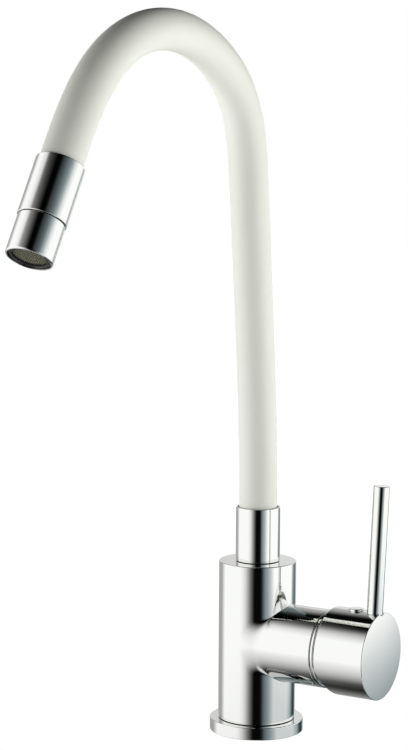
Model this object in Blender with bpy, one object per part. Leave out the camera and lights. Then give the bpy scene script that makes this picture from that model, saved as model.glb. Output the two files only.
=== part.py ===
"""Single-lever kitchen mixer with a bendable hose spout, modelled as its separate pieces.

Metres, +Z up. The origin lies on the barrel's axis in the plane of the deck that it stands on.
The spout reaches towards -Y, over the sink, and the handle branch points to +X, the user's right.
"""

import math

import bmesh
import bpy
from mathutils import Matrix, Vector

# Clearances and cutting allowances
GAP = 0.0003
RUNNING_GAP = 0.0004
CUT_OVERRUN = 0.002
MERGE_DISTANCE = 0.0000001

# Facet counts
BODY_SIDES = 40
PIECE_SIDES = 24
SMALL_SIDES = 12
KEY_SIDES = 6
SLEEVE_SIDES = 20
CORE_SIDES = 12
SHARP_ANGLE = math.radians(35)

# Barrel of the cast body, and the foot that stands in the base ring
BARREL_RADIUS = 0.0230
BARREL_TOP = 0.1024
BODY_CHAMFER = 0.0006
BODY_UNDERSIDE = 0.0010
FOOT_STEP = 0.0027
FOOT_WALL = 0.0028
RECESS_ROOF = 0.0200

# Base ring and its gasket
BASE_OVERHANG = 0.0050
BASE_HEIGHT = 0.0073
BASE_CHAMFER = 0.0006
GASKET_THICKNESS = 0.0017
GASKET_INNER_LAND = 0.0012
GASKET_OUTER_LAND = 0.0020

# Side branch and waterways of the cast body
BRANCH_RADIUS = 0.0229
BRANCH_HEIGHT = 0.0548
BRANCH_END = 0.0478
INLET_PLACE = 0.0050
INLET_OFFSET = 0.0068
INLET_RISE = 0.0035
INLET_BORE_RADIUS = 0.0024
INLET_PORT_RADIUS = 0.0022
INLET_SOCKET_RADIUS = 0.0045
INLET_SOCKET_DEPTH = 0.0110
STUD_SOCKET_RADIUS = 0.0034
STUD_SOCKET_DEPTH = 0.0120
STUD_SETBACK = 0.0110
OUTLET_DROP = 0.0035
OUTLET_BORE_RADIUS = 0.0031
OUTLET_PORT_RADIUS = 0.0028
DRILL_PAST = 0.0010

# Cartridge: the pieces stacked from the bottom of the branch bore outwards
CARTRIDGE_FLOOR = 0.0140
CARTRIDGE_RADIUS = 0.0174
CARTRIDGE_EASE = 0.0005
PORT_SEAL_THICKNESS = 0.0020
PORT_SEAL_HOLE_EASE = 0.0004
CARTRIDGE_BASE_THICKNESS = 0.0040
FIXED_DISC_THICKNESS = 0.0040
FIXED_DISC_MARGIN = 0.0017
MOVING_DISC_THICKNESS = 0.0040
MOVING_DISC_MARGIN = 0.0004
MIXING_POCKET_RADIUS = 0.0050
MIXING_POCKET_DEPTH = 0.0020
DRIVER_THICKNESS = 0.0070
DRIVER_FLOOR = 0.0010
HOUSING_WALL = 0.0021
HOUSING_END_WALL = 0.0025
HOUSING_NECK_RADIUS = 0.0120
HOUSING_NECK_WALL = 0.0024
HOUSING_NECK_LENGTH = 0.0116
CARRIER_FLANGE_THICKNESS = 0.0032
CARRIER_NECK_PROUD = 0.0015
STEM_SLOT_EASE = 0.0005
STEM_SLOT_HEIGHT = 0.0132
NUT_EDGE = 0.0030
NUT_BORE_EASE = 0.0004

# Cover ring between the branch and the handle
RING_FLANGE_THICKNESS = 0.0023
RING_LEDGE = 0.0019
RING_CROWN = 0.0021
RING_DOME_RISE = 0.0044
RING_DOME_STEPS = 3

# Stem that tilts on a cross pin in the carrier, and its ball in the disc driver
PIVOT_SETBACK = 0.0045
PIVOT_PIN_RADIUS = 0.0015
STEM_WIDTH = 0.0070
STEM_INNER_REACH = 0.0060
STEM_END_CLEARANCE = 0.0009
STEM_ARM_RADIUS = 0.0024
STEM_BALL_RADIUS = 0.0030
STEM_BALL_INSET = 0.0022
STEM_REST_ANGLE = math.radians(11)

# Cap of the handle
CAP_OVERHANG = 0.0025
CAP_CLEARANCE = 0.0016
CAP_LENGTH = 0.0313
CAP_WALL = 0.0018
CAP_FACE_THICKNESS = 0.0032
CAP_CHAMFER = 0.0005
CAP_HUB_RADIUS = 0.0080
CAP_HUB_SETBACK = 0.0090
CAP_RELIEF_DROP = 0.0070
CAP_RELIEF_ANGLE = math.radians(22)

# Lever and the grub screw that holds the cap on the stem
LEVER_RADIUS = 0.0047
LEVER_LENGTH = 0.0745
LEVER_SETBACK = 0.0061
LEVER_LEAN = math.radians(2.5)
LEVER_CHAMFER = 0.0005
LEVER_SEAT_EASE = 0.0005
LEVER_SEAT_DEPTH = 0.0010
LEVER_STUD_RADIUS = 0.0028
LEVER_STUD_LENGTH = 0.0110
LEVER_BOSS_WALL = 0.0023
SCREW_SETBACK = 0.0181
SCREW_RADIUS = 0.0025
SCREW_LENGTH = 0.0052
SCREW_SOCKET_RADIUS = 0.0012
SCREW_SOCKET_DEPTH = 0.0020
SCREW_HOLE_EASE = 0.0004
COUNTERSINK_FLARE = 0.0018
COUNTERSINK_DEPTH = 0.0017

# Hose: outer sleeve, stay-put core and water tube
SLEEVE_RADIUS = 0.01136
SLEEVE_WALL = 0.00256
CORE_WALL = 0.0022
TUBE_WALL = 0.0015
BEND_RELIEF_ANGLE = math.radians(11)

# Hose path in the spout's plane: stretches and the bend radius reached at the end of each
FOOT_BEND_RADIUS = 0.676
LEAN_STRETCH = 0.110
LEAN_BEND_RADIUS = 7.0
RISE_STRETCH = 0.080
SHOULDER_STRETCH = 0.050
SHOULDER_BEND_RADIUS = 0.0544
CROWN_STRETCH = 0.035
CROWN_BEND_RADIUS = 0.103
FALL_STRETCH = 0.123
FALL_BEND_RADIUS = 0.0937
HEAD_STRETCH = 0.0593
PATH_STEPS = 480
RING_SPACING = 0.040
RING_TURN = math.radians(11)

# Places along the hose where it is free to bend, from the collar's rim to the head's
FIRST_BEND = 0.050
LAST_BEND_MARGIN = 0.0573
BEND_COUNT = 6

# Spout socket, spigot, seals and collar
SOCKET_RADIUS = 0.0110
SOCKET_DEPTH = 0.0184
SPIGOT_FLANGE_THICKNESS = 0.0043
TAIL_EASE = 0.0004
TAIL_WALL = 0.0012
SPIGOT_TAIL_LENGTH = 0.0150
O_RING_SECTION_RADIUS = 0.0010
O_RING_UPPER_DROP = 0.0036
O_RING_SPACING = 0.0042
RETAINER_RISE = 0.0055
RETAINER_GROOVE_DEPTH = 0.0018
RETAINER_SCREW_RADIUS = 0.0022
RETAINER_HEAD_SETBACK = 0.0018
WASHER_THICKNESS = 0.0008
COLLAR_EASE = 0.00074
COLLAR_WALL = 0.0011
COLLAR_LENGTH = 0.0311
COLLAR_CHAMFER = 0.0003

# Spray head: sleeve on the hose's end, and the fitting inside it
HEAD_EASE = 0.00034
HEAD_WALL = 0.0012
HEAD_SLEEVE_LENGTH = 0.0322
HEAD_CHAMFER = 0.0004
HOSE_ENTRY = 0.0120
FITTING_TAIL_LENGTH = 0.0100
FITTING_COLLAR_LENGTH = 0.0080
FITTING_NECK_LENGTH = 0.0060
FITTING_NECK_RADIUS = 0.0078

# Nozzle: lower sleeve of the head with its aerator
NOZZLE_STEP = 0.0005
NOZZLE_WALL = 0.0011
NOZZLE_LENGTH = 0.0213
NOZZLE_SEAL_THICKNESS = 0.0012
NOZZLE_SEAL_WIDTH = 0.0045
AERATOR_WALL = 0.0026
AERATOR_DEPTH = 0.0100
AERATOR_LEDGE = 0.0012
AERATOR_LEDGE_THICKNESS = 0.0012
AERATOR_SETBACK = 0.0008
MESH_SETBACK = 0.0012
MESH_THICKNESS = 0.0006
MESH_HOLE_RADIUS = 0.0010
MESH_HOLE_PITCH = 0.0030
MESH_HOLE_RINGS = 2
MESH_HOLE_SIDES = 4
INSERT_THICKNESS = 0.0040
INSERT_HOLE_RADIUS = 0.0013
INSERT_HOLE_PITCH = 0.0048
HOLES_IN_FIRST_RING = 6

# Finishes: name, base colour, metallic, roughness
CHROME = ("chrome plate", (0.80, 0.81, 0.82), 1.0, 0.06)
BRASS = ("turned brass", (0.72, 0.55, 0.28), 1.0, 0.30)
STEEL = ("stainless steel", (0.55, 0.56, 0.57), 1.0, 0.32)
SILICONE = ("satin silicone", (0.86, 0.86, 0.82), 0.0, 0.45)
TUBE_PLASTIC = ("water tube plastic", (0.80, 0.83, 0.85), 0.0, 0.40)
SEAL_RUBBER = ("seal rubber", (0.03, 0.03, 0.03), 0.0, 0.70)
DARK_PLASTIC = ("moulded black plastic", (0.05, 0.05, 0.05), 0.0, 0.45)
PALE_PLASTIC = ("moulded pale plastic", (0.78, 0.78, 0.75), 0.0, 0.50)
CERAMIC = ("sintered ceramic", (0.88, 0.87, 0.84), 0.0, 0.25)

# Sizes of the body and its base that follow from the ones above
BASE_RADIUS = BARREL_RADIUS + BASE_OVERHANG
FOOT_RADIUS = BARREL_RADIUS - FOOT_STEP
RECESS_RADIUS = FOOT_RADIUS - FOOT_WALL
BASE_BORE_RADIUS = FOOT_RADIUS + GAP
GROOVE_INNER_RADIUS = BASE_BORE_RADIUS + GASKET_INNER_LAND
GROOVE_OUTER_RADIUS = BASE_RADIUS - GASKET_OUTER_LAND
SOCKET_FLOOR = BARREL_TOP - SOCKET_DEPTH
RETAINER_HEIGHT = SOCKET_FLOOR + RETAINER_RISE
INLET_HEIGHT = BRANCH_HEIGHT + INLET_RISE
OUTLET_HEIGHT = BRANCH_HEIGHT - OUTLET_DROP

# The cartridge's stack along the branch, and the radii that nest in one another
SEAL_FACE = CARTRIDGE_FLOOR + GAP
CARTRIDGE_BASE_FACE = SEAL_FACE + PORT_SEAL_THICKNESS + GAP
FIXED_DISC_FACE = CARTRIDGE_BASE_FACE + CARTRIDGE_BASE_THICKNESS + GAP
MOVING_DISC_FACE = FIXED_DISC_FACE + FIXED_DISC_THICKNESS + GAP
DRIVER_FACE = MOVING_DISC_FACE + MOVING_DISC_THICKNESS + GAP
DRIVER_END = DRIVER_FACE + DRIVER_THICKNESS
CARRIER_FACE = DRIVER_END + RUNNING_GAP
CARRIER_SHOULDER = CARRIER_FACE + CARRIER_FLANGE_THICKNESS
HOUSING_WALL_FACE = CARRIER_SHOULDER + GAP
HOUSING_SHOULDER = HOUSING_WALL_FACE + HOUSING_END_WALL
HOUSING_END = HOUSING_SHOULDER + HOUSING_NECK_LENGTH
CARRIER_END = HOUSING_END + CARRIER_NECK_PROUD
CARTRIDGE_BORE_RADIUS = CARTRIDGE_RADIUS + CARTRIDGE_EASE
HOUSING_BORE_RADIUS = CARTRIDGE_RADIUS - HOUSING_WALL
HOUSING_NECK_BORE = HOUSING_NECK_RADIUS - HOUSING_NECK_WALL
CARRIER_FLANGE_RADIUS = HOUSING_BORE_RADIUS - RUNNING_GAP
CARRIER_NECK_RADIUS = HOUSING_NECK_BORE - RUNNING_GAP
FIXED_DISC_RADIUS = HOUSING_BORE_RADIUS - FIXED_DISC_MARGIN
NUT_THREAD_RADIUS = BRANCH_RADIUS - NUT_EDGE
NUT_RADIUS = NUT_THREAD_RADIUS - GAP
NUT_BORE_RADIUS = HOUSING_NECK_RADIUS + NUT_BORE_EASE

# The handle's places along the branch
RING_FACE = BRANCH_END + GAP
RING_DOME_RADIUS = BRANCH_RADIUS - RING_LEDGE
LIFT_PIVOT = HOUSING_END - PIVOT_SETBACK
BALL_PLACE = DRIVER_END - STEM_BALL_INSET
STEM_BALL_REACH = (LIFT_PIVOT - BALL_PLACE) / math.cos(STEM_REST_ANGLE)
DISC_REST_DROP = STEM_BALL_REACH * math.sin(STEM_REST_ANGLE)
MOVING_DISC_RADIUS = HOUSING_BORE_RADIUS - DISC_REST_DROP - MOVING_DISC_MARGIN
CAP_RADIUS = BRANCH_RADIUS + CAP_OVERHANG
CAP_REAR = RING_FACE + RING_FLANGE_THICKNESS + CAP_CLEARANCE
CAP_FRONT = CAP_REAR + CAP_LENGTH
CAP_INSIDE = CAP_FRONT - CAP_FACE_THICKNESS
STEM_END = CAP_INSIDE - STEM_END_CLEARANCE

# The hose's layers and the pieces at its two ends
CORE_RADIUS = SLEEVE_RADIUS - SLEEVE_WALL - GAP
TUBE_RADIUS = CORE_RADIUS - CORE_WALL - GAP
TAIL_RADIUS = TUBE_RADIUS - TUBE_WALL - TAIL_EASE
WATERWAY_RADIUS = TAIL_RADIUS - TAIL_WALL
PLUG_RADIUS = SOCKET_RADIUS - GAP
SPIGOT_FLANGE_FACE = BARREL_TOP + GAP + WASHER_THICKNESS + GAP
SPIGOT_FLANGE_TOP = SPIGOT_FLANGE_FACE + SPIGOT_FLANGE_THICKNESS
COLLAR_BORE_RADIUS = SLEEVE_RADIUS + COLLAR_EASE
COLLAR_RADIUS = COLLAR_BORE_RADIUS + COLLAR_WALL
COLLAR_TOP = SPIGOT_FLANGE_FACE + COLLAR_LENGTH
HOSE_LENGTH = (LEAN_STRETCH + RISE_STRETCH + SHOULDER_STRETCH + CROWN_STRETCH
               + FALL_STRETCH + HEAD_STRETCH)
BEND_SPACING = (HOSE_LENGTH - LAST_BEND_MARGIN - FIRST_BEND) / (BEND_COUNT - 1)
HEAD_BORE_RADIUS = SLEEVE_RADIUS + HEAD_EASE
HEAD_RADIUS = HEAD_BORE_RADIUS + HEAD_WALL
NOZZLE_RADIUS = HEAD_RADIUS - NOZZLE_STEP
NOZZLE_BORE_RADIUS = NOZZLE_RADIUS - NOZZLE_WALL
NIPPLE_RADIUS = NOZZLE_BORE_RADIUS - GAP
NOZZLE_FACE = HEAD_SLEEVE_LENGTH + GAP
NOZZLE_END = NOZZLE_FACE + NOZZLE_LENGTH
AERATOR_MOUTH = NOZZLE_END - AERATOR_SETBACK
AERATOR_BACK = AERATOR_MOUTH - AERATOR_DEPTH
AERATOR_BORE_RADIUS = NIPPLE_RADIUS - AERATOR_WALL
NIPPLE_END = AERATOR_BACK - GAP - NOZZLE_SEAL_THICKNESS - GAP

# Directions in which a piece's own Z axis can be laid
TOWARDS_HANDLE = (0, math.radians(90), 0)
TOWARDS_BACK = (math.radians(-90), 0, 0)


def clear_scene():
    for old in list(bpy.data.objects):
        bpy.data.objects.remove(old, do_unlink=True)


def finish_material(finish):
    """One Principled material per piece, named after the finish."""
    name, colour, metallic, roughness = finish
    material = bpy.data.materials.new(name)
    material.use_nodes = True
    shader = material.node_tree.nodes["Principled BSDF"]
    shader.inputs["Base Color"].default_value = (*colour, 1)
    shader.inputs["Metallic"].default_value = metallic
    shader.inputs["Roughness"].default_value = roughness
    material.diffuse_color = (*colour, 1)
    return material


def add_object(name, bm, finish=None, parent=None, location=(0, 0, 0), rotation=(0, 0, 0)):
    """Turn a bmesh into a placed object; without a finish it is a cutter."""
    bmesh.ops.remove_doubles(bm, verts=bm.verts, dist=MERGE_DISTANCE)
    bmesh.ops.recalc_face_normals(bm, faces=bm.faces)
    mesh = bpy.data.meshes.new(name)
    bm.to_mesh(mesh)
    bm.free()
    piece = bpy.data.objects.new(name, mesh)
    bpy.context.scene.collection.objects.link(piece)
    piece.parent = parent
    piece.location = location
    piece.rotation_euler = rotation
    if finish is None:
        piece.hide_render = True
        piece.display_type = "WIRE"
    else:
        mesh.shade_smooth()
        mesh.set_sharp_from_angle(angle=SHARP_ANGLE)
        mesh.materials.append(finish_material(finish))
    return piece


def add_empty(name, parent=None, location=(0, 0, 0), rotation=(0, 0, 0)):
    """An empty on a joint's axis, which carries the pieces that move there."""
    empty = bpy.data.objects.new(name, None)
    bpy.context.scene.collection.objects.link(empty)
    empty.parent = parent
    empty.location = location
    empty.rotation_euler = rotation
    return empty


def turned(name, outline, sides, finish=None, **place):
    """Spin an outline of (radius, height) points about the local Z axis.

    An outline that starts and ends on the axis is left open there; any other is a closed loop.
    """
    bm = bmesh.new()
    points = [bm.verts.new((radius, 0, height)) for radius, height in outline]
    edges = [bm.edges.new(pair) for pair in zip(points, points[1:])]
    if outline[0][0] > 0 or outline[-1][0] > 0:
        edges.append(bm.edges.new((points[-1], points[0])))
    bmesh.ops.spin(bm, geom=points + edges, cent=(0, 0, 0), axis=(0, 0, 1), dvec=(0, 0, 0),
                   angle=math.tau, steps=sides, use_merge=True, use_duplicate=False)
    return add_object(name, bm, finish, **place)


def cylinder(name, radius, low, high, sides, finish=None, **place):
    outline = [(0, low), (radius, low), (radius, high), (0, high)]
    return turned(name, outline, sides, finish, **place)


def ring(name, inner, outer, low, high, sides, finish=None, **place):
    outline = [(inner, low), (outer, low), (outer, high), (inner, high)]
    return turned(name, outline, sides, finish, **place)


def block(name, low, high, finish=None, **place):
    """A box between two corners."""
    bm = bmesh.new()
    bmesh.ops.create_cube(bm, size=1)
    low, high = Vector(low), Vector(high)
    middle = (low + high) / 2
    size = high - low
    bmesh.ops.transform(bm, matrix=Matrix.Translation(middle) @ Matrix.Diagonal((*size, 1)),
                        verts=bm.verts)
    return add_object(name, bm, finish, **place)


def combine(target, tool, operation):
    modifier = target.modifiers.new(tool.name, "BOOLEAN")
    modifier.operation = operation
    modifier.solver = "EXACT"
    modifier.object = tool


def cut(target, *tools):
    for tool in tools:
        combine(target, tool, "DIFFERENCE")


def join(target, *tools):
    for tool in tools:
        combine(target, tool, "UNION")


def on_branch(x, **place):
    """Placement of a piece whose own Z axis is the branch's axis, counted from the barrel."""
    return dict(location=(x, 0, BRANCH_HEIGHT), rotation=TOWARDS_HANDLE, **place)


def base_pieces():
    groove_top = GASKET_THICKNESS + GAP
    turned("base_ring",
           [(BASE_BORE_RADIUS, 0), (GROOVE_INNER_RADIUS, 0), (GROOVE_INNER_RADIUS, groove_top),
            (GROOVE_OUTER_RADIUS, groove_top), (GROOVE_OUTER_RADIUS, 0), (BASE_RADIUS, 0),
            (BASE_RADIUS, BASE_HEIGHT - BASE_CHAMFER), (BASE_RADIUS - BASE_CHAMFER, BASE_HEIGHT),
            (BASE_BORE_RADIUS, BASE_HEIGHT)],
           BODY_SIDES, CHROME)
    ring("base_gasket", GROOVE_INNER_RADIUS + GAP, GROOVE_OUTER_RADIUS - GAP, 0,
         GASKET_THICKNESS, PIECE_SIDES, SEAL_RUBBER)


def cut_inlets(body):
    """Two supply sockets in the recess's roof, each with its way to the cartridge."""
    for side, offset in (("left", -INLET_OFFSET), ("right", INLET_OFFSET)):
        riser = turned(f"inlet_{side}_cutter",
                       [(0, RECESS_ROOF - CUT_OVERRUN),
                        (INLET_SOCKET_RADIUS, RECESS_ROOF - CUT_OVERRUN),
                        (INLET_SOCKET_RADIUS, RECESS_ROOF + INLET_SOCKET_DEPTH),
                        (INLET_BORE_RADIUS, RECESS_ROOF + INLET_SOCKET_DEPTH),
                        (INLET_BORE_RADIUS, INLET_HEIGHT + DRILL_PAST),
                        (0, INLET_HEIGHT + DRILL_PAST)],
                       SMALL_SIDES, location=(INLET_PLACE, offset, 0))
        port = cylinder(f"inlet_{side}_port_cutter", INLET_PORT_RADIUS, INLET_PLACE - DRILL_PAST,
                        CARTRIDGE_FLOOR + CUT_OVERRUN, SMALL_SIDES,
                        location=(0, offset, INLET_HEIGHT), rotation=TOWARDS_HANDLE)
        cut(body, riser, port)


def cut_outlet(body):
    """The way from the cartridge back to the barrel's middle, up it, and the spout's socket."""
    port = cylinder("outlet_port_cutter", OUTLET_PORT_RADIUS, -DRILL_PAST,
                    CARTRIDGE_FLOOR + CUT_OVERRUN, SMALL_SIDES,
                    location=(0, 0, OUTLET_HEIGHT), rotation=TOWARDS_HANDLE)
    riser = turned("outlet_cutter",
                   [(0, OUTLET_HEIGHT - DRILL_PAST),
                    (OUTLET_BORE_RADIUS, OUTLET_HEIGHT - DRILL_PAST),
                    (OUTLET_BORE_RADIUS, SOCKET_FLOOR), (SOCKET_RADIUS, SOCKET_FLOOR),
                    (SOCKET_RADIUS, BARREL_TOP + CUT_OVERRUN), (0, BARREL_TOP + CUT_OVERRUN)],
                   PIECE_SIDES)
    cut(body, port, riser)


def cut_screw_holes(body):
    retainer_hole = cylinder("retainer_hole_cutter", RETAINER_SCREW_RADIUS + GAP,
                             SOCKET_RADIUS - CUT_OVERRUN, BARREL_RADIUS + CUT_OVERRUN,
                             SMALL_SIDES, location=(0, 0, RETAINER_HEIGHT), rotation=TOWARDS_BACK)
    stud_socket = cylinder("stud_socket_cutter", STUD_SOCKET_RADIUS, RECESS_ROOF - CUT_OVERRUN,
                           RECESS_ROOF + STUD_SOCKET_DEPTH, SMALL_SIDES,
                           location=(-STUD_SETBACK, 0, 0))
    cut(body, retainer_hole, stud_socket)


def cut_wide_bores(body):
    """Underside recess, and the stepped bore for the cartridge and its nut."""
    recess = cylinder("recess_cutter", RECESS_RADIUS, BODY_UNDERSIDE - CUT_OVERRUN, RECESS_ROOF,
                      PIECE_SIDES)
    cartridge_bore = turned("cartridge_bore_cutter",
                            [(0, CARTRIDGE_FLOOR), (CARTRIDGE_BORE_RADIUS, CARTRIDGE_FLOOR),
                             (CARTRIDGE_BORE_RADIUS, HOUSING_SHOULDER),
                             (NUT_THREAD_RADIUS, HOUSING_SHOULDER),
                             (NUT_THREAD_RADIUS, BRANCH_END + CUT_OVERRUN),
                             (0, BRANCH_END + CUT_OVERRUN)],
                            PIECE_SIDES, **on_branch(0))
    cut(body, recess, cartridge_bore)


def mixer_body():
    """The cast barrel with its branch, its foot standing in the base ring."""
    foot_top = BASE_HEIGHT + GAP
    body = turned("mixer_body",
                  [(0, BODY_UNDERSIDE), (FOOT_RADIUS, BODY_UNDERSIDE), (FOOT_RADIUS, foot_top),
                   (BARREL_RADIUS, foot_top), (BARREL_RADIUS, BARREL_TOP - BODY_CHAMFER),
                   (BARREL_RADIUS - BODY_CHAMFER, BARREL_TOP), (0, BARREL_TOP)],
                  BODY_SIDES, CHROME)
    branch = turned("branch_tool",
                    [(0, 0), (BRANCH_RADIUS, 0), (BRANCH_RADIUS, BRANCH_END - BODY_CHAMFER),
                     (BRANCH_RADIUS - BODY_CHAMFER, BRANCH_END), (0, BRANCH_END)],
                    BODY_SIDES, **on_branch(0))
    join(body, branch)
    cut_inlets(body)
    cut_screw_holes(body)
    cut_outlet(body)
    cut_wide_bores(body)


def ported_plate(name, radius, face, thickness, finish, ease=0):
    """A plate of the cartridge's stack, with the two inlet ports and the outlet port."""
    plate = cylinder(name, radius, 0, thickness, PIECE_SIDES, finish, **on_branch(face))
    ports = (("left", INLET_RISE, -INLET_OFFSET, INLET_PORT_RADIUS),
             ("right", INLET_RISE, INLET_OFFSET, INLET_PORT_RADIUS),
             ("outlet", -OUTLET_DROP, 0, OUTLET_PORT_RADIUS))
    for label, rise, offset, port_radius in ports:
        drill = cylinder(f"{name}_{label}_cutter", port_radius + ease, -CUT_OVERRUN,
                         thickness + CUT_OVERRUN, SMALL_SIDES, parent=plate,
                         location=(-rise, offset, 0))
        cut(plate, drill)


def cartridge_fixed_pieces():
    ported_plate("port_seal", CARTRIDGE_RADIUS, SEAL_FACE, PORT_SEAL_THICKNESS, SEAL_RUBBER,
                 PORT_SEAL_HOLE_EASE)
    ported_plate("cartridge_base", CARTRIDGE_RADIUS, CARTRIDGE_BASE_FACE,
                 CARTRIDGE_BASE_THICKNESS, DARK_PLASTIC)
    ported_plate("fixed_disc", FIXED_DISC_RADIUS, FIXED_DISC_FACE, FIXED_DISC_THICKNESS, CERAMIC)
    turned("cartridge_housing",
           [(HOUSING_BORE_RADIUS, FIXED_DISC_FACE), (CARTRIDGE_RADIUS, FIXED_DISC_FACE),
            (CARTRIDGE_RADIUS, HOUSING_SHOULDER), (HOUSING_NECK_RADIUS, HOUSING_SHOULDER),
            (HOUSING_NECK_RADIUS, HOUSING_END), (HOUSING_NECK_BORE, HOUSING_END),
            (HOUSING_NECK_BORE, HOUSING_WALL_FACE), (HOUSING_BORE_RADIUS, HOUSING_WALL_FACE)],
           PIECE_SIDES, PALE_PLASTIC, **on_branch(0))
    ring("retaining_nut", NUT_BORE_RADIUS, NUT_RADIUS, HOUSING_SHOULDER + GAP, BRANCH_END,
         PIECE_SIDES, BRASS, **on_branch(0))


def branch_ring():
    """Chromed ring that closes the branch and domes up inside the handle's cap."""
    outline = [(NUT_BORE_RADIUS, 0), (BRANCH_RADIUS, 0), (BRANCH_RADIUS, RING_FLANGE_THICKNESS),
               (RING_DOME_RADIUS, RING_FLANGE_THICKNESS)]
    crown = NUT_BORE_RADIUS + RING_CROWN
    for step in range(1, RING_DOME_STEPS + 1):
        turn = math.radians(90) * step / RING_DOME_STEPS
        outline.append((crown + (RING_DOME_RADIUS - crown) * math.cos(turn),
                        RING_FLANGE_THICKNESS + RING_DOME_RISE * math.sin(turn)))
    outline.append((NUT_BORE_RADIUS, RING_FLANGE_THICKNESS + RING_DOME_RISE))
    turned("branch_ring", outline, BODY_SIDES, CHROME, **on_branch(RING_FACE))


def retainer_screw():
    """Grub screw in the back of the barrel, its tip in the spigot's groove."""
    tip = PLUG_RADIUS - RETAINER_GROOVE_DEPTH + GAP
    head = BARREL_RADIUS - RETAINER_HEAD_SETBACK
    screw = cylinder("retainer_screw", RETAINER_SCREW_RADIUS, tip, head, SMALL_SIDES, STEEL,
                     location=(0, 0, RETAINER_HEIGHT), rotation=TOWARDS_BACK)
    cut_key_socket(screw, head)


def cut_key_socket(screw, head):
    """Hexagonal socket for a key in a grub screw's head."""
    cut(screw, cylinder(f"{screw.name}_socket_cutter", SCREW_SOCKET_RADIUS,
                        head - SCREW_SOCKET_DEPTH, head + CUT_OVERRUN, KEY_SIDES, parent=screw))


def stem_carrier(turn_axis):
    """The turning piece in the cartridge's neck, with the cross pin that the stem tilts on."""
    carrier = turned("stem_carrier",
                     [(0, CARRIER_FACE), (CARRIER_FLANGE_RADIUS, CARRIER_FACE),
                      (CARRIER_FLANGE_RADIUS, CARRIER_SHOULDER),
                      (CARRIER_NECK_RADIUS, CARRIER_SHOULDER),
                      (CARRIER_NECK_RADIUS, CARRIER_END), (0, CARRIER_END)],
                     PIECE_SIDES, PALE_PLASTIC, parent=turn_axis, rotation=TOWARDS_HANDLE)
    half_width = STEM_WIDTH / 2 + STEM_SLOT_EASE
    half_height = STEM_SLOT_HEIGHT / 2
    slot = block("stem_slot_cutter", (CARRIER_FACE - CUT_OVERRUN, -half_width, -half_height),
                 (CARRIER_END + CUT_OVERRUN, half_width, half_height), parent=turn_axis)
    pin_hole = cylinder("pin_hole_cutter", PIVOT_PIN_RADIUS + GAP, -CARRIER_FLANGE_RADIUS,
                        CARRIER_FLANGE_RADIUS, SMALL_SIDES, parent=turn_axis,
                        location=(LIFT_PIVOT, 0, 0), rotation=TOWARDS_BACK)
    cut(carrier, slot, pin_hole)
    pin_reach = CARRIER_NECK_RADIUS - GAP
    cylinder("pivot_pin", PIVOT_PIN_RADIUS, -pin_reach, pin_reach, SMALL_SIDES, STEEL,
             parent=turn_axis, location=(LIFT_PIVOT, 0, 0), rotation=TOWARDS_BACK)


def disc_pieces(turn_axis):
    """The sliding ceramic disc and the driver that the stem's ball pushes."""
    disc_axis = add_empty("disc_axis", turn_axis, (0, 0, -DISC_REST_DROP), TOWARDS_HANDLE)
    disc = cylinder("moving_disc", MOVING_DISC_RADIUS, MOVING_DISC_FACE,
                    MOVING_DISC_FACE + MOVING_DISC_THICKNESS, PIECE_SIDES, CERAMIC,
                    parent=disc_axis)
    pocket = cylinder("mixing_pocket_cutter", MIXING_POCKET_RADIUS,
                      MOVING_DISC_FACE - CUT_OVERRUN, MOVING_DISC_FACE + MIXING_POCKET_DEPTH,
                      PIECE_SIDES, parent=disc_axis)
    cut(disc, pocket)
    driver = cylinder("disc_driver", MOVING_DISC_RADIUS, DRIVER_FACE, DRIVER_END, PIECE_SIDES,
                      DARK_PLASTIC, parent=disc_axis)
    socket = cylinder("ball_socket_cutter", STEM_BALL_RADIUS + RUNNING_GAP,
                      DRIVER_FACE + DRIVER_FLOOR, DRIVER_END + CUT_OVERRUN, SMALL_SIDES,
                      parent=disc_axis)
    cut(driver, socket)


def stem(lift_axis):
    """The handle's stem: a square outer end and an inner arm with a ball, set down at rest."""
    half = STEM_WIDTH / 2
    piece = block("stem", (-STEM_INNER_REACH, -half, -half), (STEM_END - LIFT_PIVOT, half, half),
                  BRASS, parent=lift_axis)
    arm_turn = (0, math.radians(-90) - STEM_REST_ANGLE, 0)
    arm = cylinder("stem_arm_tool", STEM_ARM_RADIUS, 0, STEM_BALL_REACH, SMALL_SIDES,
                   parent=lift_axis, rotation=arm_turn)
    half_turns = SMALL_SIDES // 2
    ball_outline = [(0, STEM_BALL_REACH - STEM_BALL_RADIUS)]
    for step in range(1, half_turns):
        turn = math.pi * step / half_turns
        ball_outline.append((STEM_BALL_RADIUS * math.sin(turn),
                             STEM_BALL_REACH - STEM_BALL_RADIUS * math.cos(turn)))
    ball_outline.append((0, STEM_BALL_REACH + STEM_BALL_RADIUS))
    ball = turned("stem_ball_tool", ball_outline, SMALL_SIDES, parent=lift_axis,
                  rotation=arm_turn)
    join(piece, arm, ball)
    cut(piece, cylinder("stem_pin_cutter", PIVOT_PIN_RADIUS + GAP, -STEM_WIDTH, STEM_WIDTH,
                        SMALL_SIDES, parent=lift_axis, rotation=TOWARDS_BACK))


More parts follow.
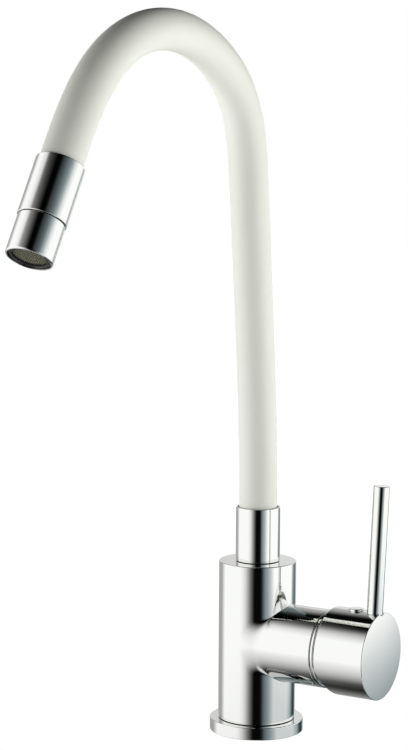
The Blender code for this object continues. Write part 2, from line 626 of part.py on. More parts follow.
def cap_hole_cutters(lift_axis):
    """Cutters for the cap's square socket, the lever's seat and the grub screw's hole."""
    half = STEM_WIDTH / 2 + GAP
    hub_rear = CAP_REAR + CAP_HUB_SETBACK - LIFT_PIVOT
    socket = block("stem_socket_cutter", (hub_rear - CUT_OVERRUN, -half, -half),
                   (STEM_END + GAP - LIFT_PIVOT, half, half), parent=lift_axis)
    seat = CAP_RADIUS - LEVER_SEAT_DEPTH
    top = CAP_RADIUS + CUT_OVERRUN
    stud_hole = LEVER_STUD_RADIUS + GAP
    seat_radius = LEVER_RADIUS + LEVER_SEAT_EASE
    lever_hole = turned("lever_hole_cutter",
                        [(0, seat - LEVER_STUD_LENGTH), (stud_hole, seat - LEVER_STUD_LENGTH),
                         (stud_hole, seat), (seat_radius, seat), (seat_radius, top), (0, top)],
                        PIECE_SIDES, parent=lift_axis,
                        location=(CAP_FRONT - LEVER_SETBACK - LIFT_PIVOT, 0, 0),
                        rotation=(0, LEVER_LEAN, 0))
    hole = SCREW_RADIUS + SCREW_HOLE_EASE
    flare = COUNTERSINK_FLARE * (1 + CUT_OVERRUN / COUNTERSINK_DEPTH)
    screw_hole = turned("screw_hole_cutter",
                        [(0, 0), (hole, 0), (hole, CAP_RADIUS - COUNTERSINK_DEPTH),
                         (hole + flare, top), (0, top)],
                        PIECE_SIDES, parent=lift_axis,
                        location=(CAP_FRONT - SCREW_SETBACK - LIFT_PIVOT, 0, 0))
    return socket, lever_hole, screw_hole


def handle_cap(lift_axis):
    """The drum-shaped cap with its hub, holes and the slanted relief at its lower rear."""
    rear = CAP_REAR - LIFT_PIVOT
    front = CAP_FRONT - LIFT_PIVOT
    inside = CAP_INSIDE - LIFT_PIVOT
    hub_rear = rear + CAP_HUB_SETBACK
    bore = CAP_RADIUS - CAP_WALL
    cap = turned("handle_cap",
                 [(0, hub_rear), (CAP_HUB_RADIUS, hub_rear), (CAP_HUB_RADIUS, inside),
                  (bore, inside), (bore, rear), (CAP_RADIUS, rear),
                  (CAP_RADIUS, front - CAP_CHAMFER), (CAP_RADIUS - CAP_CHAMFER, front),
                  (0, front)],
                 BODY_SIDES, CHROME, parent=lift_axis, rotation=TOWARDS_HANDLE)
    boss = cylinder("lever_boss_tool", LEVER_STUD_RADIUS + GAP + LEVER_BOSS_WALL, 0,
                    CAP_RADIUS - CAP_WALL / 2, PIECE_SIDES, parent=lift_axis,
                    location=(front - LEVER_SETBACK, 0, 0))
    join(cap, boss)
    relief = block("cap_relief_cutter", (-CAP_RADIUS, -CAP_RADIUS - CUT_OVERRUN, -2 * CAP_RADIUS),
                   (0, CAP_RADIUS + CUT_OVERRUN, 0), parent=lift_axis,
                   location=(rear, 0, -CAP_RELIEF_DROP), rotation=(0, -CAP_RELIEF_ANGLE, 0))
    cut(cap, *cap_hole_cutters(lift_axis), relief)


def lever_and_screw(lift_axis):
    foot = CAP_RADIUS - LEVER_SEAT_DEPTH + GAP
    stud_foot = foot - LEVER_STUD_LENGTH + GAP
    top = CAP_RADIUS + LEVER_LENGTH
    turned("lever_pin",
           [(0, stud_foot), (LEVER_STUD_RADIUS, stud_foot), (LEVER_STUD_RADIUS, foot),
            (LEVER_RADIUS, foot), (LEVER_RADIUS, top - LEVER_CHAMFER),
            (LEVER_RADIUS - LEVER_CHAMFER, top), (0, top)],
           PIECE_SIDES, CHROME, parent=lift_axis,
           location=(CAP_FRONT - LEVER_SETBACK - LIFT_PIVOT, 0, 0), rotation=(0, LEVER_LEAN, 0))
    tip = STEM_WIDTH / 2 + GAP
    screw = cylinder("handle_screw", SCREW_RADIUS, tip, tip + SCREW_LENGTH, SMALL_SIDES, STEEL,
                     parent=lift_axis, location=(CAP_FRONT - SCREW_SETBACK - LIFT_PIVOT, 0, 0))
    cut_key_socket(screw, tip + SCREW_LENGTH)


def handle_group():
    """Everything that turns with the lever, and within it what tilts and what slides."""
    turn_axis = add_empty("temperature_axis", None, (0, 0, BRANCH_HEIGHT))
    stem_carrier(turn_axis)
    disc_pieces(turn_axis)
    lift_axis = add_empty("lift_axis", turn_axis, (LIFT_PIVOT, 0, 0))
    stem(lift_axis)
    handle_cap(lift_axis)
    lever_and_screw(lift_axis)


def bend_at(along):
    """The hose's curvature, which runs straight between the ends of its stretches."""
    stations = ((0, 1 / FOOT_BEND_RADIUS), (LEAN_STRETCH, 1 / LEAN_BEND_RADIUS),
                (RISE_STRETCH, 0), (SHOULDER_STRETCH, 1 / SHOULDER_BEND_RADIUS),
                (CROWN_STRETCH, 1 / CROWN_BEND_RADIUS), (FALL_STRETCH, 1 / FALL_BEND_RADIUS),
                (HEAD_STRETCH, 0))
    start = 0
    for (_, from_bend), (stretch, to_bend) in zip(stations, stations[1:]):
        if along <= start + stretch:
            return from_bend + (to_bend - from_bend) * (along - start) / stretch
        start += stretch
    return 0


def hose_path():
    """Heading, reach and height at each step along the hose, from the collar's rim."""
    step = HOSE_LENGTH / PATH_STEPS
    heading, reach, height = 0, 0, COLLAR_TOP
    path = [(heading, reach, height)]
    for index in range(PATH_STEPS):
        turn = bend_at((index + 0.5) * step) * step
        reach += math.sin(heading + turn / 2) * step
        height += math.cos(heading + turn / 2) * step
        heading += turn
        path.append((heading, reach, height))
    return path


def hose_frame(path, along):
    """Heading and point at a distance from the collar's rim, straight on beyond both ends."""
    place = min(max(along / HOSE_LENGTH, 0), 1) * PATH_STEPS
    index = min(int(place), PATH_STEPS - 1)
    heading, reach, height = (low + (high - low) * (place - index)
                              for low, high in zip(path[index], path[index + 1]))
    past = along - min(max(along, 0), HOSE_LENGTH)
    return heading, Vector((0, -reach - math.sin(heading) * past,
                            height + math.cos(heading) * past))


def hose_wall(bm, path, radius, low, high, count, sides, origin):
    """One wall of a hose piece: rings of points along it, joined by faces."""
    loops = []
    for index in range(count + 1):
        heading, point = hose_frame(path, low + (high - low) * index / count)
        across = Vector((1, 0, 0))
        upright = Vector((0, math.cos(heading), math.sin(heading)))
        loops.append([])
        for side in range(sides):
            turn = math.tau * side / sides
            offset = across * math.cos(turn) + upright * math.sin(turn)
            loops[-1].append(bm.verts.new(point + offset * radius - origin))
    for first, second in zip(loops, loops[1:]):
        join_loops(bm, first, second)
    return loops


def join_loops(bm, first, second):
    for index in range(len(first)):
        after = (index + 1) % len(first)
        bm.faces.new((first[index], first[after], second[after], second[index]))


def hose_piece(name, path, radius, wall, span, relief, sides, finish, parent, origin):
    """A stretch of one of the hose's layers; relief cones its ends so that it can bend there.

    The hose's own two ends stay square, and each end at a bend stands back half a gap from it.
    """
    start, end = span
    turn = abs(hose_frame(path, end)[0] - hose_frame(path, start)[0])
    count = max(1, math.ceil((end - start) / RING_SPACING), math.ceil(turn / RING_TURN))
    bm = bmesh.new()
    walls = []
    for wall_radius in (radius, radius - wall):
        setback = GAP / 2 + wall_radius * math.tan(relief)
        low = start + (setback if start > 0 else 0)
        high = end - (setback if end < HOSE_LENGTH else 0)
        walls.append(hose_wall(bm, path, wall_radius, low, high, count, sides, origin))
    outer, inner = walls
    join_loops(bm, outer[0], inner[0])
    join_loops(bm, outer[-1], inner[-1])
    add_object(name, bm, finish, parent)


def hose_pieces(spout_axis):
    """All layers of the hose, parted at the bends, and the empties that the bends turn about."""
    path = hose_path()
    bends = [FIRST_BEND + BEND_SPACING * index for index in range(BEND_COUNT)]
    foot = SPIGOT_FLANGE_TOP + GAP - COLLAR_TOP
    marks = [foot] + bends + [HOSE_LENGTH + HOSE_ENTRY]
    parent = spout_axis
    origin = Vector((0, 0, BARREL_TOP))
    for number, span in enumerate(zip(marks, marks[1:]), start=1):
        if number > 1:
            place = hose_frame(path, span[0])[1]
            parent = add_empty(f"hose_bend_axis_{number - 1}", parent, place - origin)
            origin = place
        hose_piece(f"hose_sleeve_{number}", path, SLEEVE_RADIUS, SLEEVE_WALL, span, 0,
                   SLEEVE_SIDES, SILICONE, parent, origin)
        hose_piece(f"hose_core_{number}", path, CORE_RADIUS, CORE_WALL, span,
                   BEND_RELIEF_ANGLE, CORE_SIDES, STEEL, parent, origin)
        hose_piece(f"water_tube_{number}", path, TUBE_RADIUS, TUBE_WALL, span,
                   BEND_RELIEF_ANGLE, CORE_SIDES, TUBE_PLASTIC, parent, origin)
    heading, rim = hose_frame(path, HOSE_LENGTH)
    return add_empty("spray_head_axis", parent, rim - origin, (heading, 0, 0))


def o_ring_heights():
    upper = BARREL_TOP - O_RING_UPPER_DROP
    return upper - O_RING_SPACING, upper


def spigot_outline():
    """Plug with grooves for the retainer and the seals, flange, and tail for the water tube."""
    foot = SOCKET_FLOOR + GAP
    outline = [(WATERWAY_RADIUS, foot), (PLUG_RADIUS, foot)]
    seal_floor = PLUG_RADIUS - 2 * O_RING_SECTION_RADIUS - GAP
    grooves = [(RETAINER_HEIGHT, RETAINER_SCREW_RADIUS, PLUG_RADIUS - RETAINER_GROOVE_DEPTH)]
    grooves += [(height, O_RING_SECTION_RADIUS, seal_floor) for height in o_ring_heights()]
    for height, half_width, floor in grooves:
        low, high = height - half_width - GAP, height + half_width + GAP
        outline += [(PLUG_RADIUS, low), (floor, low), (floor, high), (PLUG_RADIUS, high)]
    tail_top = SPIGOT_FLANGE_TOP + SPIGOT_TAIL_LENGTH
    flange = COLLAR_BORE_RADIUS - GAP
    return outline + [(PLUG_RADIUS, SPIGOT_FLANGE_FACE), (flange, SPIGOT_FLANGE_FACE),
                      (flange, SPIGOT_FLANGE_TOP), (TAIL_RADIUS, SPIGOT_FLANGE_TOP),
                      (TAIL_RADIUS, tail_top), (WATERWAY_RADIUS, tail_top)]


def spout_base(spout_axis):
    """Spigot, seals, washer and collar that turn on the barrel."""
    place = dict(parent=spout_axis, location=(0, 0, -BARREL_TOP))
    turned("spout_spigot", spigot_outline(), PIECE_SIDES, BRASS, **place)
    middle = PLUG_RADIUS - O_RING_SECTION_RADIUS
    section_sides = SMALL_SIDES // 2
    for label, height in zip(("lower", "upper"), o_ring_heights()):
        outline = []
        for step in range(section_sides):
            turn = math.tau * step / section_sides
            outline.append((middle + O_RING_SECTION_RADIUS * math.cos(turn),
                            height + O_RING_SECTION_RADIUS * math.sin(turn)))
        turned(f"spout_o_ring_{label}", outline, PIECE_SIDES, SEAL_RUBBER, **place)
    washer_face = BARREL_TOP + GAP
    ring("glide_washer", PLUG_RADIUS + GAP, COLLAR_RADIUS - GAP, washer_face,
         washer_face + WASHER_THICKNESS, PIECE_SIDES, DARK_PLASTIC, **place)
    turned("swivel_collar",
           [(COLLAR_BORE_RADIUS, SPIGOT_FLANGE_FACE), (COLLAR_RADIUS, SPIGOT_FLANGE_FACE),
            (COLLAR_RADIUS, COLLAR_TOP - COLLAR_CHAMFER),
            (COLLAR_RADIUS - COLLAR_CHAMFER, COLLAR_TOP), (COLLAR_BORE_RADIUS, COLLAR_TOP)],
           PIECE_SIDES, CHROME, **place)


def rimmed_sleeve(name, bore, radius, low, high, parent):
    """A chromed tube with its outer rims broken."""
    turned(name,
           [(bore, low), (radius - HEAD_CHAMFER, low), (radius, low + HEAD_CHAMFER),
            (radius, high - HEAD_CHAMFER), (radius - HEAD_CHAMFER, high), (bore, high)],
           PIECE_SIDES, CHROME, parent=parent)


def head_pieces(head_axis):
    """Chromed sleeve on the hose's end, and the brass fitting inside it."""
    rimmed_sleeve("head_sleeve", HEAD_BORE_RADIUS, HEAD_RADIUS, 0, HEAD_SLEEVE_LENGTH, head_axis)
    tail = HOSE_ENTRY - FITTING_TAIL_LENGTH
    seat = HOSE_ENTRY + GAP
    collar_end = seat + FITTING_COLLAR_LENGTH
    neck_end = collar_end + FITTING_NECK_LENGTH
    collar = HEAD_BORE_RADIUS - GAP
    turned("head_fitting",
           [(WATERWAY_RADIUS, tail), (TAIL_RADIUS, tail), (TAIL_RADIUS, seat), (collar, seat),
            (collar, collar_end), (FITTING_NECK_RADIUS, collar_end),
            (FITTING_NECK_RADIUS, neck_end), (NIPPLE_RADIUS, neck_end),
            (NIPPLE_RADIUS, NIPPLE_END), (WATERWAY_RADIUS, NIPPLE_END)],
           PIECE_SIDES, BRASS, parent=head_axis)


def cut_screen_holes(screen, span, radius, pitch, rings, sides):
    """One hole in the middle of a screen, and rings of holes around it."""
    places = [(0, 0)]
    for layer in range(1, rings + 1):
        count = HOLES_IN_FIRST_RING * layer
        for index in range(count):
            turn = math.tau * index / count
            places.append((layer * pitch * math.cos(turn), layer * pitch * math.sin(turn)))
    low, high = span[0] - CUT_OVERRUN, span[1] + CUT_OVERRUN
    bm = bmesh.new()
    for x, y in places:
        bmesh.ops.create_cone(bm, cap_ends=True, segments=sides, radius1=radius, radius2=radius,
                              depth=high - low, matrix=Matrix.Translation((x, y, (high + low) / 2)))
    cut(screen, add_object(f"{screen.name}_holes_cutter", bm, parent=screen))


def nozzle_pieces(nozzle_axis):
    """Lower sleeve of the head, with the aerator that it carries."""
    rimmed_sleeve("nozzle_sleeve", NOZZLE_BORE_RADIUS, NOZZLE_RADIUS, NOZZLE_FACE, NOZZLE_END,
                  nozzle_axis)
    mesh_top = AERATOR_MOUTH - MESH_SETBACK
    mesh_low = mesh_top - MESH_THICKNESS
    ledge_top = mesh_low - GAP
    ledge_low = ledge_top - AERATOR_LEDGE_THICKNESS
    ledge_bore = AERATOR_BORE_RADIUS - AERATOR_LEDGE
    turned("aerator_housing",
           [(AERATOR_BORE_RADIUS, AERATOR_BACK), (NIPPLE_RADIUS, AERATOR_BACK),
            (NIPPLE_RADIUS, AERATOR_MOUTH), (AERATOR_BORE_RADIUS, AERATOR_MOUTH),
            (AERATOR_BORE_RADIUS, ledge_top), (ledge_bore, ledge_top), (ledge_bore, ledge_low),
            (AERATOR_BORE_RADIUS, ledge_low)],
           PIECE_SIDES, DARK_PLASTIC, parent=nozzle_axis)
    insert_high = ledge_low - GAP
    insert_low = insert_high - INSERT_THICKNESS
    screen_radius = AERATOR_BORE_RADIUS - GAP
    mesh = cylinder("aerator_mesh", screen_radius, mesh_low, mesh_top, PIECE_SIDES, STEEL,
                    parent=nozzle_axis)
    cut_screen_holes(mesh, (mesh_low, mesh_top), MESH_HOLE_RADIUS, MESH_HOLE_PITCH,
                     MESH_HOLE_RINGS, MESH_HOLE_SIDES)
    insert = cylinder("aerator_insert", screen_radius, insert_low, insert_high, PIECE_SIDES,
                      PALE_PLASTIC, parent=nozzle_axis)
    cut_screen_holes(insert, (insert_low, insert_high), INSERT_HOLE_RADIUS, INSERT_HOLE_PITCH,
                     1, KEY_SIDES)
    seal_face = NIPPLE_END + GAP
    ring("nozzle_seal", NIPPLE_RADIUS - NOZZLE_SEAL_WIDTH, NIPPLE_RADIUS, seal_face,
         seal_face + NOZZLE_SEAL_THICKNESS, PIECE_SIDES, SEAL_RUBBER, parent=nozzle_axis)


def spout_group():
    """The spout, each stretch of its hose carried by the one before it."""
    spout_axis = add_empty("spout_axis", None, (0, 0, BARREL_TOP))
    spout_base(spout_axis)
    head_axis = hose_pieces(spout_axis)
    head_pieces(head_axis)
    nozzle_pieces(add_empty("nozzle_axis", head_axis))


def build():
    clear_scene()
    base_pieces()
    mixer_body()
    cartridge_fixed_pieces()
    branch_ring()
    retainer_screw()
    handle_group()
    spout_group()


build()
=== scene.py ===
import math

import bmesh
import bpy
import numpy as np
from bpy.props import FloatProperty, FloatVectorProperty, PointerProperty
from mathutils import Matrix, Vector


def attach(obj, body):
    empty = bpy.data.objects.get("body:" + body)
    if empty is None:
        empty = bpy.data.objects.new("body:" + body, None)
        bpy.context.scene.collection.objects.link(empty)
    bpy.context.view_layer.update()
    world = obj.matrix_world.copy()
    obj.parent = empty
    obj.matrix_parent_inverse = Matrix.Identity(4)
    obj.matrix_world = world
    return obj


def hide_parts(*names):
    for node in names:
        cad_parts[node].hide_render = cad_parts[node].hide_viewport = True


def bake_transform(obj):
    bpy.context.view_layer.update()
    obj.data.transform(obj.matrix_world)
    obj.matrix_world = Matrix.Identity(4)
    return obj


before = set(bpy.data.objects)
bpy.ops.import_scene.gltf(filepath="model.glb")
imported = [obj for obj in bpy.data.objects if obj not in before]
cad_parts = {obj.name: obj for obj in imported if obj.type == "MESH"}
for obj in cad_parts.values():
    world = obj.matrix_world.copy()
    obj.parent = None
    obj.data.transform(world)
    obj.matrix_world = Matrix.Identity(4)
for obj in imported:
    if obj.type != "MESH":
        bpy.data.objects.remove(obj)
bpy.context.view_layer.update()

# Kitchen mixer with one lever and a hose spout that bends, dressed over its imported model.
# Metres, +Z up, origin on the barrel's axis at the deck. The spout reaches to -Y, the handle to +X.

bl_info = {
    "name": "Bendable-spout kitchen mixer",
    "version": (1, 0, 0),
    "blender": (4, 5, 0),
    "location": "3D View > Sidebar > Mixer",
    "description": "Builds the visible pieces of a single-lever mixer over its packed model",
    "category": "Object",
}

# Mesh resolution
TURNED_SIDES = 160
SMALL_SIDES = 96
FILLET_STEPS = 5
CROWN_STEPS = 6
JUNCTION_STEPS = 72
JUNCTION_ROWS = 18
REAR_COLUMNS = 64
HOSE_SIDES = 48
HOSE_ROWS = 36
WIRE_SIDES = 6
TINY = 1e-9
WELD = 1e-6
ON_SURFACE = 0.000012
FACING = 0.7

# Hose path: stretches and the curvature reached at the end of each, as in the solid model
HOSE_STATIONS = ((0, 1 / 0.676), (0.110, 1 / 7.0), (0.080, 0), (0.050, 1 / 0.0544),
                 (0.035, 1 / 0.103), (0.123, 1 / 0.0937), (0.0593, 0))
HOSE_LENGTH = sum(stretch for stretch, _ in HOSE_STATIONS)
PATH_STEPS = 480
HOSE_FOOT = -0.0265
HOSE_TIP = 0.4693
HOSE_PIVOTS = (0.050, 0.120, 0.190, 0.260, 0.330, 0.400)

# The photograph's camera
FOCAL_PIXELS = 2049.664634
PHOTO_WIDTH, PHOTO_HEIGHT = 408, 750
SENSOR = 36.0
CAMERA_DISTANCE = 1.202606
CAMERA_HEIGHT = 0.345829
CAMERA_PITCH = 0.10997213
CAMERA_YAW = 0.02715469
CAMERA_ROLL = 0.00560938
CAMERA_AZIMUTH = math.radians(30)


def length(name, description, default):
    """A length that the user can change, shown in the scene's unit."""
    return FloatProperty(name=name, description=description, default=default, min=0,
                         precision=4, unit="LENGTH", subtype="DISTANCE")


def to_linear(tones):
    """Linear values of sRGB tones from 0 to 1."""
    tones = np.array(tones)
    return np.where(tones <= 0.04045, tones / 12.92, ((tones + 0.055) / 1.055) ** 2.4)


def linear(code):
    """Linear colour of an sRGB hex value."""
    return tuple(to_linear([int(code[start:start + 2], 16) / 255 for start in (0, 2, 4)]).tolist())


def colour(name, description, code):
    """A colour that the user can change, given as an sRGB hex value."""
    return FloatVectorProperty(name=name, description=description, default=linear(code),
                               min=0, max=1, size=3, subtype="COLOR")


class BodySizes(bpy.types.PropertyGroup):
    """Sizes of the cast body and the ring at its foot."""
    barrel_radius: length("Barrel radius", "Radius of the upright barrel", 0.0230)
    barrel_top: length("Barrel top", "Height of the barrel above the deck", 0.1024)
    barrel_foot: length("Barrel foot", "Height at which the barrel steps in", 0.0076)
    foot_radius: length("Foot radius", "Radius of the foot inside the base ring", 0.0203)
    recess_radius: length("Recess radius", "Radius of the recess underneath", 0.0175)
    recess_roof: length("Recess roof", "Height of the recess underneath", 0.0200)
    branch_radius: length("Branch radius", "Radius of the side branch", 0.0229)
    branch_height: length("Branch height", "Height of the branch's axis", 0.0548)
    branch_end: length("Branch end", "Distance from the barrel's axis to the branch's end", 0.0478)
    edge: length("Edge", "Rounding of the polished edges", 0.0006)
    crease: length("Crease", "Half width of the polished crease at the top of the branch", 0.00035)
    blend: length("Front blend", "Extra half width of the crease towards the front", 0.0050)
    ring_radius: length("Base ring radius", "Radius of the ring under the barrel", 0.0280)
    ring_height: length("Base ring height", "Height of the ring under the barrel", 0.0073)


class HandleSizes(bpy.types.PropertyGroup):
    """Sizes of the handle's cap, its lever and the ring behind it."""
    cap_radius: length("Cap radius", "Radius of the cap", 0.0254)
    cap_rear: length("Cap rear", "Distance from the barrel's axis to the cap's rim", 0.0520)
    cap_front: length("Cap front", "Distance from the barrel's axis to the cap's face", 0.0833)
    cap_wall: length("Cap wall", "Wall of the cap", 0.0018)
    cap_crown: length("Cap crown", "Rise of the face's middle over its rim", 0.00025)
    cap_edge: length("Cap edge", "Rounding of the cap's front edge", 0.0005)
    relief_drop: length("Relief drop", "Drop from the axis to the slanted relief", 0.0070)
    lever_radius: length("Lever radius", "Radius of the lever", 0.0047)
    lever_place: length("Lever place", "Distance from the barrel's axis to the lever", 0.0772)
    lever_top: length("Lever top", "Distance from the branch's axis to the lever's end", 0.0999)
    lever_lean: FloatProperty(name="Lever lean", description="Outward lean of the lever",
                              default=math.radians(2.5), subtype="ANGLE")
    screw_place: length("Screw place", "Distance from the barrel's axis to the grub screw", 0.0652)
    cover_place: length("Cover place", "Distance from the barrel's axis to the button over the "
                        "grub screw", 0.0664)
    cover_radius: length("Cover radius", "Radius of the button over the grub screw", 0.0044)
    cover_rise: length("Cover rise", "Rise of the button over the cap", 0.0012)


class SpoutSizes(bpy.types.PropertyGroup):
    """Sizes of the collar, the hose and the spray head."""
    collar_radius: length("Collar radius", "Radius of the swivel collar", 0.0132)
    collar_foot: length("Collar foot", "Height of the collar's lower end", 0.1038)
    collar_top: length("Collar top", "Height of the collar's rim", 0.1349)
    hose_radius: length("Hose radius", "Radius of the silicone sleeve", 0.01136)
    hose_bore: length("Hose bore", "Radius of the sleeve's inside", 0.0095)
    head_radius: length("Head radius", "Radius of the upper sleeve of the spray head", 0.0129)
    head_length: length("Head length", "Length of the upper sleeve", 0.0322)
    nozzle_radius: length("Nozzle radius", "Radius of the lower sleeve", 0.0124)
    nozzle_end: length("Nozzle end", "Distance from the head's rim to the nozzle's", 0.0538)
    screen_radius: length("Screen radius", "Radius of the woven screen", 0.0088)
    wire_pitch: length("Wire pitch", "Distance between the screen's wires", 0.00075)
    wire_radius: length("Wire radius", "Radius of the screen's wires", 0.00017)


class FinishColours(bpy.types.PropertyGroup):
    """Colours of the finishes and the studio."""
    chrome: colour("Chrome", "Bright chrome plate", "E9EAE7")
    silicone: colour("Silicone", "Hose sleeve", "EBEDE5")
    black: colour("Black plastic", "Aerator and washers", "101112")
    floor: colour("Floor", "Sweep that the mixer stands on", "FFFFFF")


# Places and directions in which a piece's own Z axis is laid
UPRIGHT = Matrix.Identity(4)


def over_branch(sizes, reach):
    """Upright, from the branch's axis, at a distance from the barrel's."""
    return Matrix.Translation((reach, 0, sizes.branch_height))


def branch_lay(sizes):
    return over_branch(sizes, 0) @ Matrix.Rotation(math.radians(90), 4, "Y")


def lever_lay(body, handle):
    return over_branch(body, handle.lever_place) @ Matrix.Rotation(handle.lever_lean, 4, "Y")


def retainer_lay():
    """Level, from the barrel's axis to its back."""
    return Matrix.Translation((0, 0, RETAINER_HEIGHT)) @ Matrix.Rotation(math.radians(-90), 4, "X")


def bend_at(along):
    """The hose's curvature at a distance from the collar's rim."""
    start = 0
    for (_, from_bend), (stretch, to_bend) in zip(HOSE_STATIONS, HOSE_STATIONS[1:]):
        if along <= start + stretch:
            return from_bend + (to_bend - from_bend) * (along - start) / stretch
        start += stretch
    return 0


def hose_path(foot):
    """Heading, reach and height at each step along the hose, from the collar's rim."""
    step = HOSE_LENGTH / PATH_STEPS
    heading, reach, height = 0, 0, foot
    path = [(heading, reach, height)]
    for index in range(PATH_STEPS):
        turn = bend_at((index + 0.5) * step) * step
        reach += math.sin(heading + turn / 2) * step
        height += math.cos(heading + turn / 2) * step
        heading += turn
        path.append((heading, reach, height))
    return path


def hose_frame(path, along):
    """Heading and point at a distance from the collar's rim, straight on beyond both ends."""
    place = min(max(along / HOSE_LENGTH, 0), 1) * PATH_STEPS
    index = min(int(place), PATH_STEPS - 1)
    heading, reach, height = (low + (high - low) * (place - index)
                              for low, high in zip(path[index], path[index + 1]))
    past = along - min(max(along, 0), HOSE_LENGTH)
    return heading, Vector((0, -reach - math.sin(heading) * past,
                            height + math.cos(heading) * past))


def head_lay(sizes):
    heading, rim = hose_frame(hose_path(sizes.collar_top), HOSE_LENGTH)
    return Matrix.Translation(rim) @ Matrix.Rotation(heading, 4, "X")


# Turned shapes

class Outline:
    """Half section of a turned piece: its points, and the lines and arcs that they lie on.

    A corner is (radius, height) or (radius, height, rounding). An outline that ends on the axis
    is open, and so is one that is told to be.
    """

    def __init__(self, corners, closed=True):
        self.closed = closed and corners[-1][0] > 0
        self.points, self.arcs = [], []
        for index, corner in enumerate(corners):
            here = Vector(corner[:2])
            if len(corner) == 2:
                self.points.append(here)
                continue
            before = Vector(corners[index - 1][:2]) - here
            after = Vector(corners[(index + 1) % len(corners)][:2]) - here
            self.add_arc(here, before.normalized(), after.normalized(), corner[2])
        ahead = self.points[1:] + (self.points[:1] if closed else [])
        self.lines = list(zip(self.points, ahead))

    def add_arc(self, here, before, after, rounding):
        half = before.angle(after) / 2
        centre = here + (before + after).normalized() * rounding / math.sin(half)
        start = here + before * rounding / math.tan(half) - centre
        end = here + after * rounding / math.tan(half) - centre
        sweep = start.angle(end)
        for step in range(FILLET_STEPS + 1):
            part = step / FILLET_STEPS
            spoke = (start * math.sin((1 - part) * sweep) + end * math.sin(part * sweep))
            self.points.append(centre + spoke / math.sin(sweep))
        self.arcs.append((centre, rounding))

    def add_crown(self, radius, rim, rise):
        """Close an open outline with a slightly domed face."""
        bend = (radius * radius + rise * rise) / (2 * rise)
        centre = Vector((0, rim + rise - bend))
        for step in range(1, CROWN_STEPS + 1):
            reach = radius * (1 - step / CROWN_STEPS)
            self.points.append(centre + Vector((reach, math.sqrt(bend * bend - reach * reach))))
        self.arcs.insert(0, (centre, bend))

    def surfaces(self, lay):
        """One test per arc and line: which points lie on it, and its normal at each."""
        return ([self.surface(lay, arc=arc) for arc in self.arcs]
                + [self.surface(lay, line=line) for line in self.lines])

    def surface(self, lay, arc=None, line=None):
        back, turn = np.array(lay.inverted()), np.array(lay.to_3x3())

        def test(points):
            local = points @ back[:3, :3].T + back[:3, 3]
            radius = np.hypot(local[:, 0], local[:, 1])
            height = local[:, 2]
            if arc:
                out, up = radius - arc[0][0], height - arc[0][1]
                reach = np.hypot(out, up)
                hit = np.abs(reach - arc[1]) < ON_SURFACE
                out, up = out / (reach + TINY), up / (reach + TINY)
            else:
                along = line[1] - line[0]
                size = max(along.length, TINY)
                along = along / size
                past_r, past_h = radius - line[0][0], height - line[0][1]
                place = past_r * along[0] + past_h * along[1]
                hit = ((np.abs(past_r * along[1] - past_h * along[0]) < ON_SURFACE)
                       & (place > -ON_SURFACE) & (place < size + ON_SURFACE))
                out, up = np.full_like(radius, along[1]), np.full_like(radius, -along[0])
            spread = out / np.maximum(radius, TINY)
            normal = np.stack((local[:, 0] * spread, local[:, 1] * spread, up), axis=1)
            return hit, normal @ turn.T
        return test


def add_turned(bm, outline, lay, sides):
    """Spin an outline about its lay's Z axis."""
    rings = []
    for radius, height in outline.points:
        count = 1 if radius < TINY else sides
        rings.append([bm.verts.new(lay @ Vector((radius * math.cos(math.tau * side / sides),
                                                 radius * math.sin(math.tau * side / sides),
                                                 height)))
                      for side in range(count)])
    following = rings[1:] + (rings[:1] if outline.closed else [])
    for first, second in zip(rings, following):
        for side in range(sides):
            after = (side + 1) % sides
            corners = (first[side % len(first)], first[after % len(first)],
                       second[after % len(second)], second[side % len(second)])
            corners = list(dict.fromkeys(corners))
            if len(corners) > 2:
                bm.faces.new(corners)


def add_grid(bm, rows):
    """Faces between rows of points; rows that meet others are welded afterwards."""
    made = [[bm.verts.new(point) for point in row] for row in rows]
    for first, second in zip(made, made[1:]):
        for index in range(len(first) - 1):
            bm.faces.new((first[index], first[index + 1], second[index + 1], second[index]))


def to_mesh(bm):
    bmesh.ops.remove_doubles(bm, verts=bm.verts, dist=WELD)
    bmesh.ops.recalc_face_normals(bm, faces=bm.faces)
    mesh = bpy.data.meshes.new("work")
    bm.to_mesh(mesh)
    bm.free()
    return mesh


def read(items, field, width=1):
    """One field of all vertices, loops or faces: a row each, or one whole number each."""
    values = np.empty(len(items) * width, dtype=float if width > 1 else np.int32)
    items.foreach_get(field, values)
    return values.reshape(-1, width) if width > 1 else values


def shade(mesh, surfaces):
    """Give each face the true normals of the surface that it lies on; other faces stay flat."""
    points = read(mesh.vertices, "co", 3)
    at = read(mesh.loops, "vertex_index")
    starts = read(mesh.polygons, "loop_start")
    owner = np.repeat(np.arange(len(starts)), read(mesh.polygons, "loop_total"))
    flat = read(mesh.polygons, "normal", 3)[owner]
    normals = flat.copy()
    free = np.ones(len(starts), dtype=bool)
    for surface in surfaces:
        hit, direction = surface(points)
        whole = np.logical_and.reduceat(hit[at], starts) & free
        if not whole.any():
            continue
        toward = direction[at]
        side = (toward * flat).sum(axis=1)
        whole &= np.logical_and.reduceat(np.abs(side) > FACING, starts)
        chosen = whole[owner]
        normals[chosen] = (toward * np.sign(side)[:, None])[chosen]
        free &= ~whole
    mesh.shade_smooth()
    mesh.normals_split_custom_set(normals.tolist())


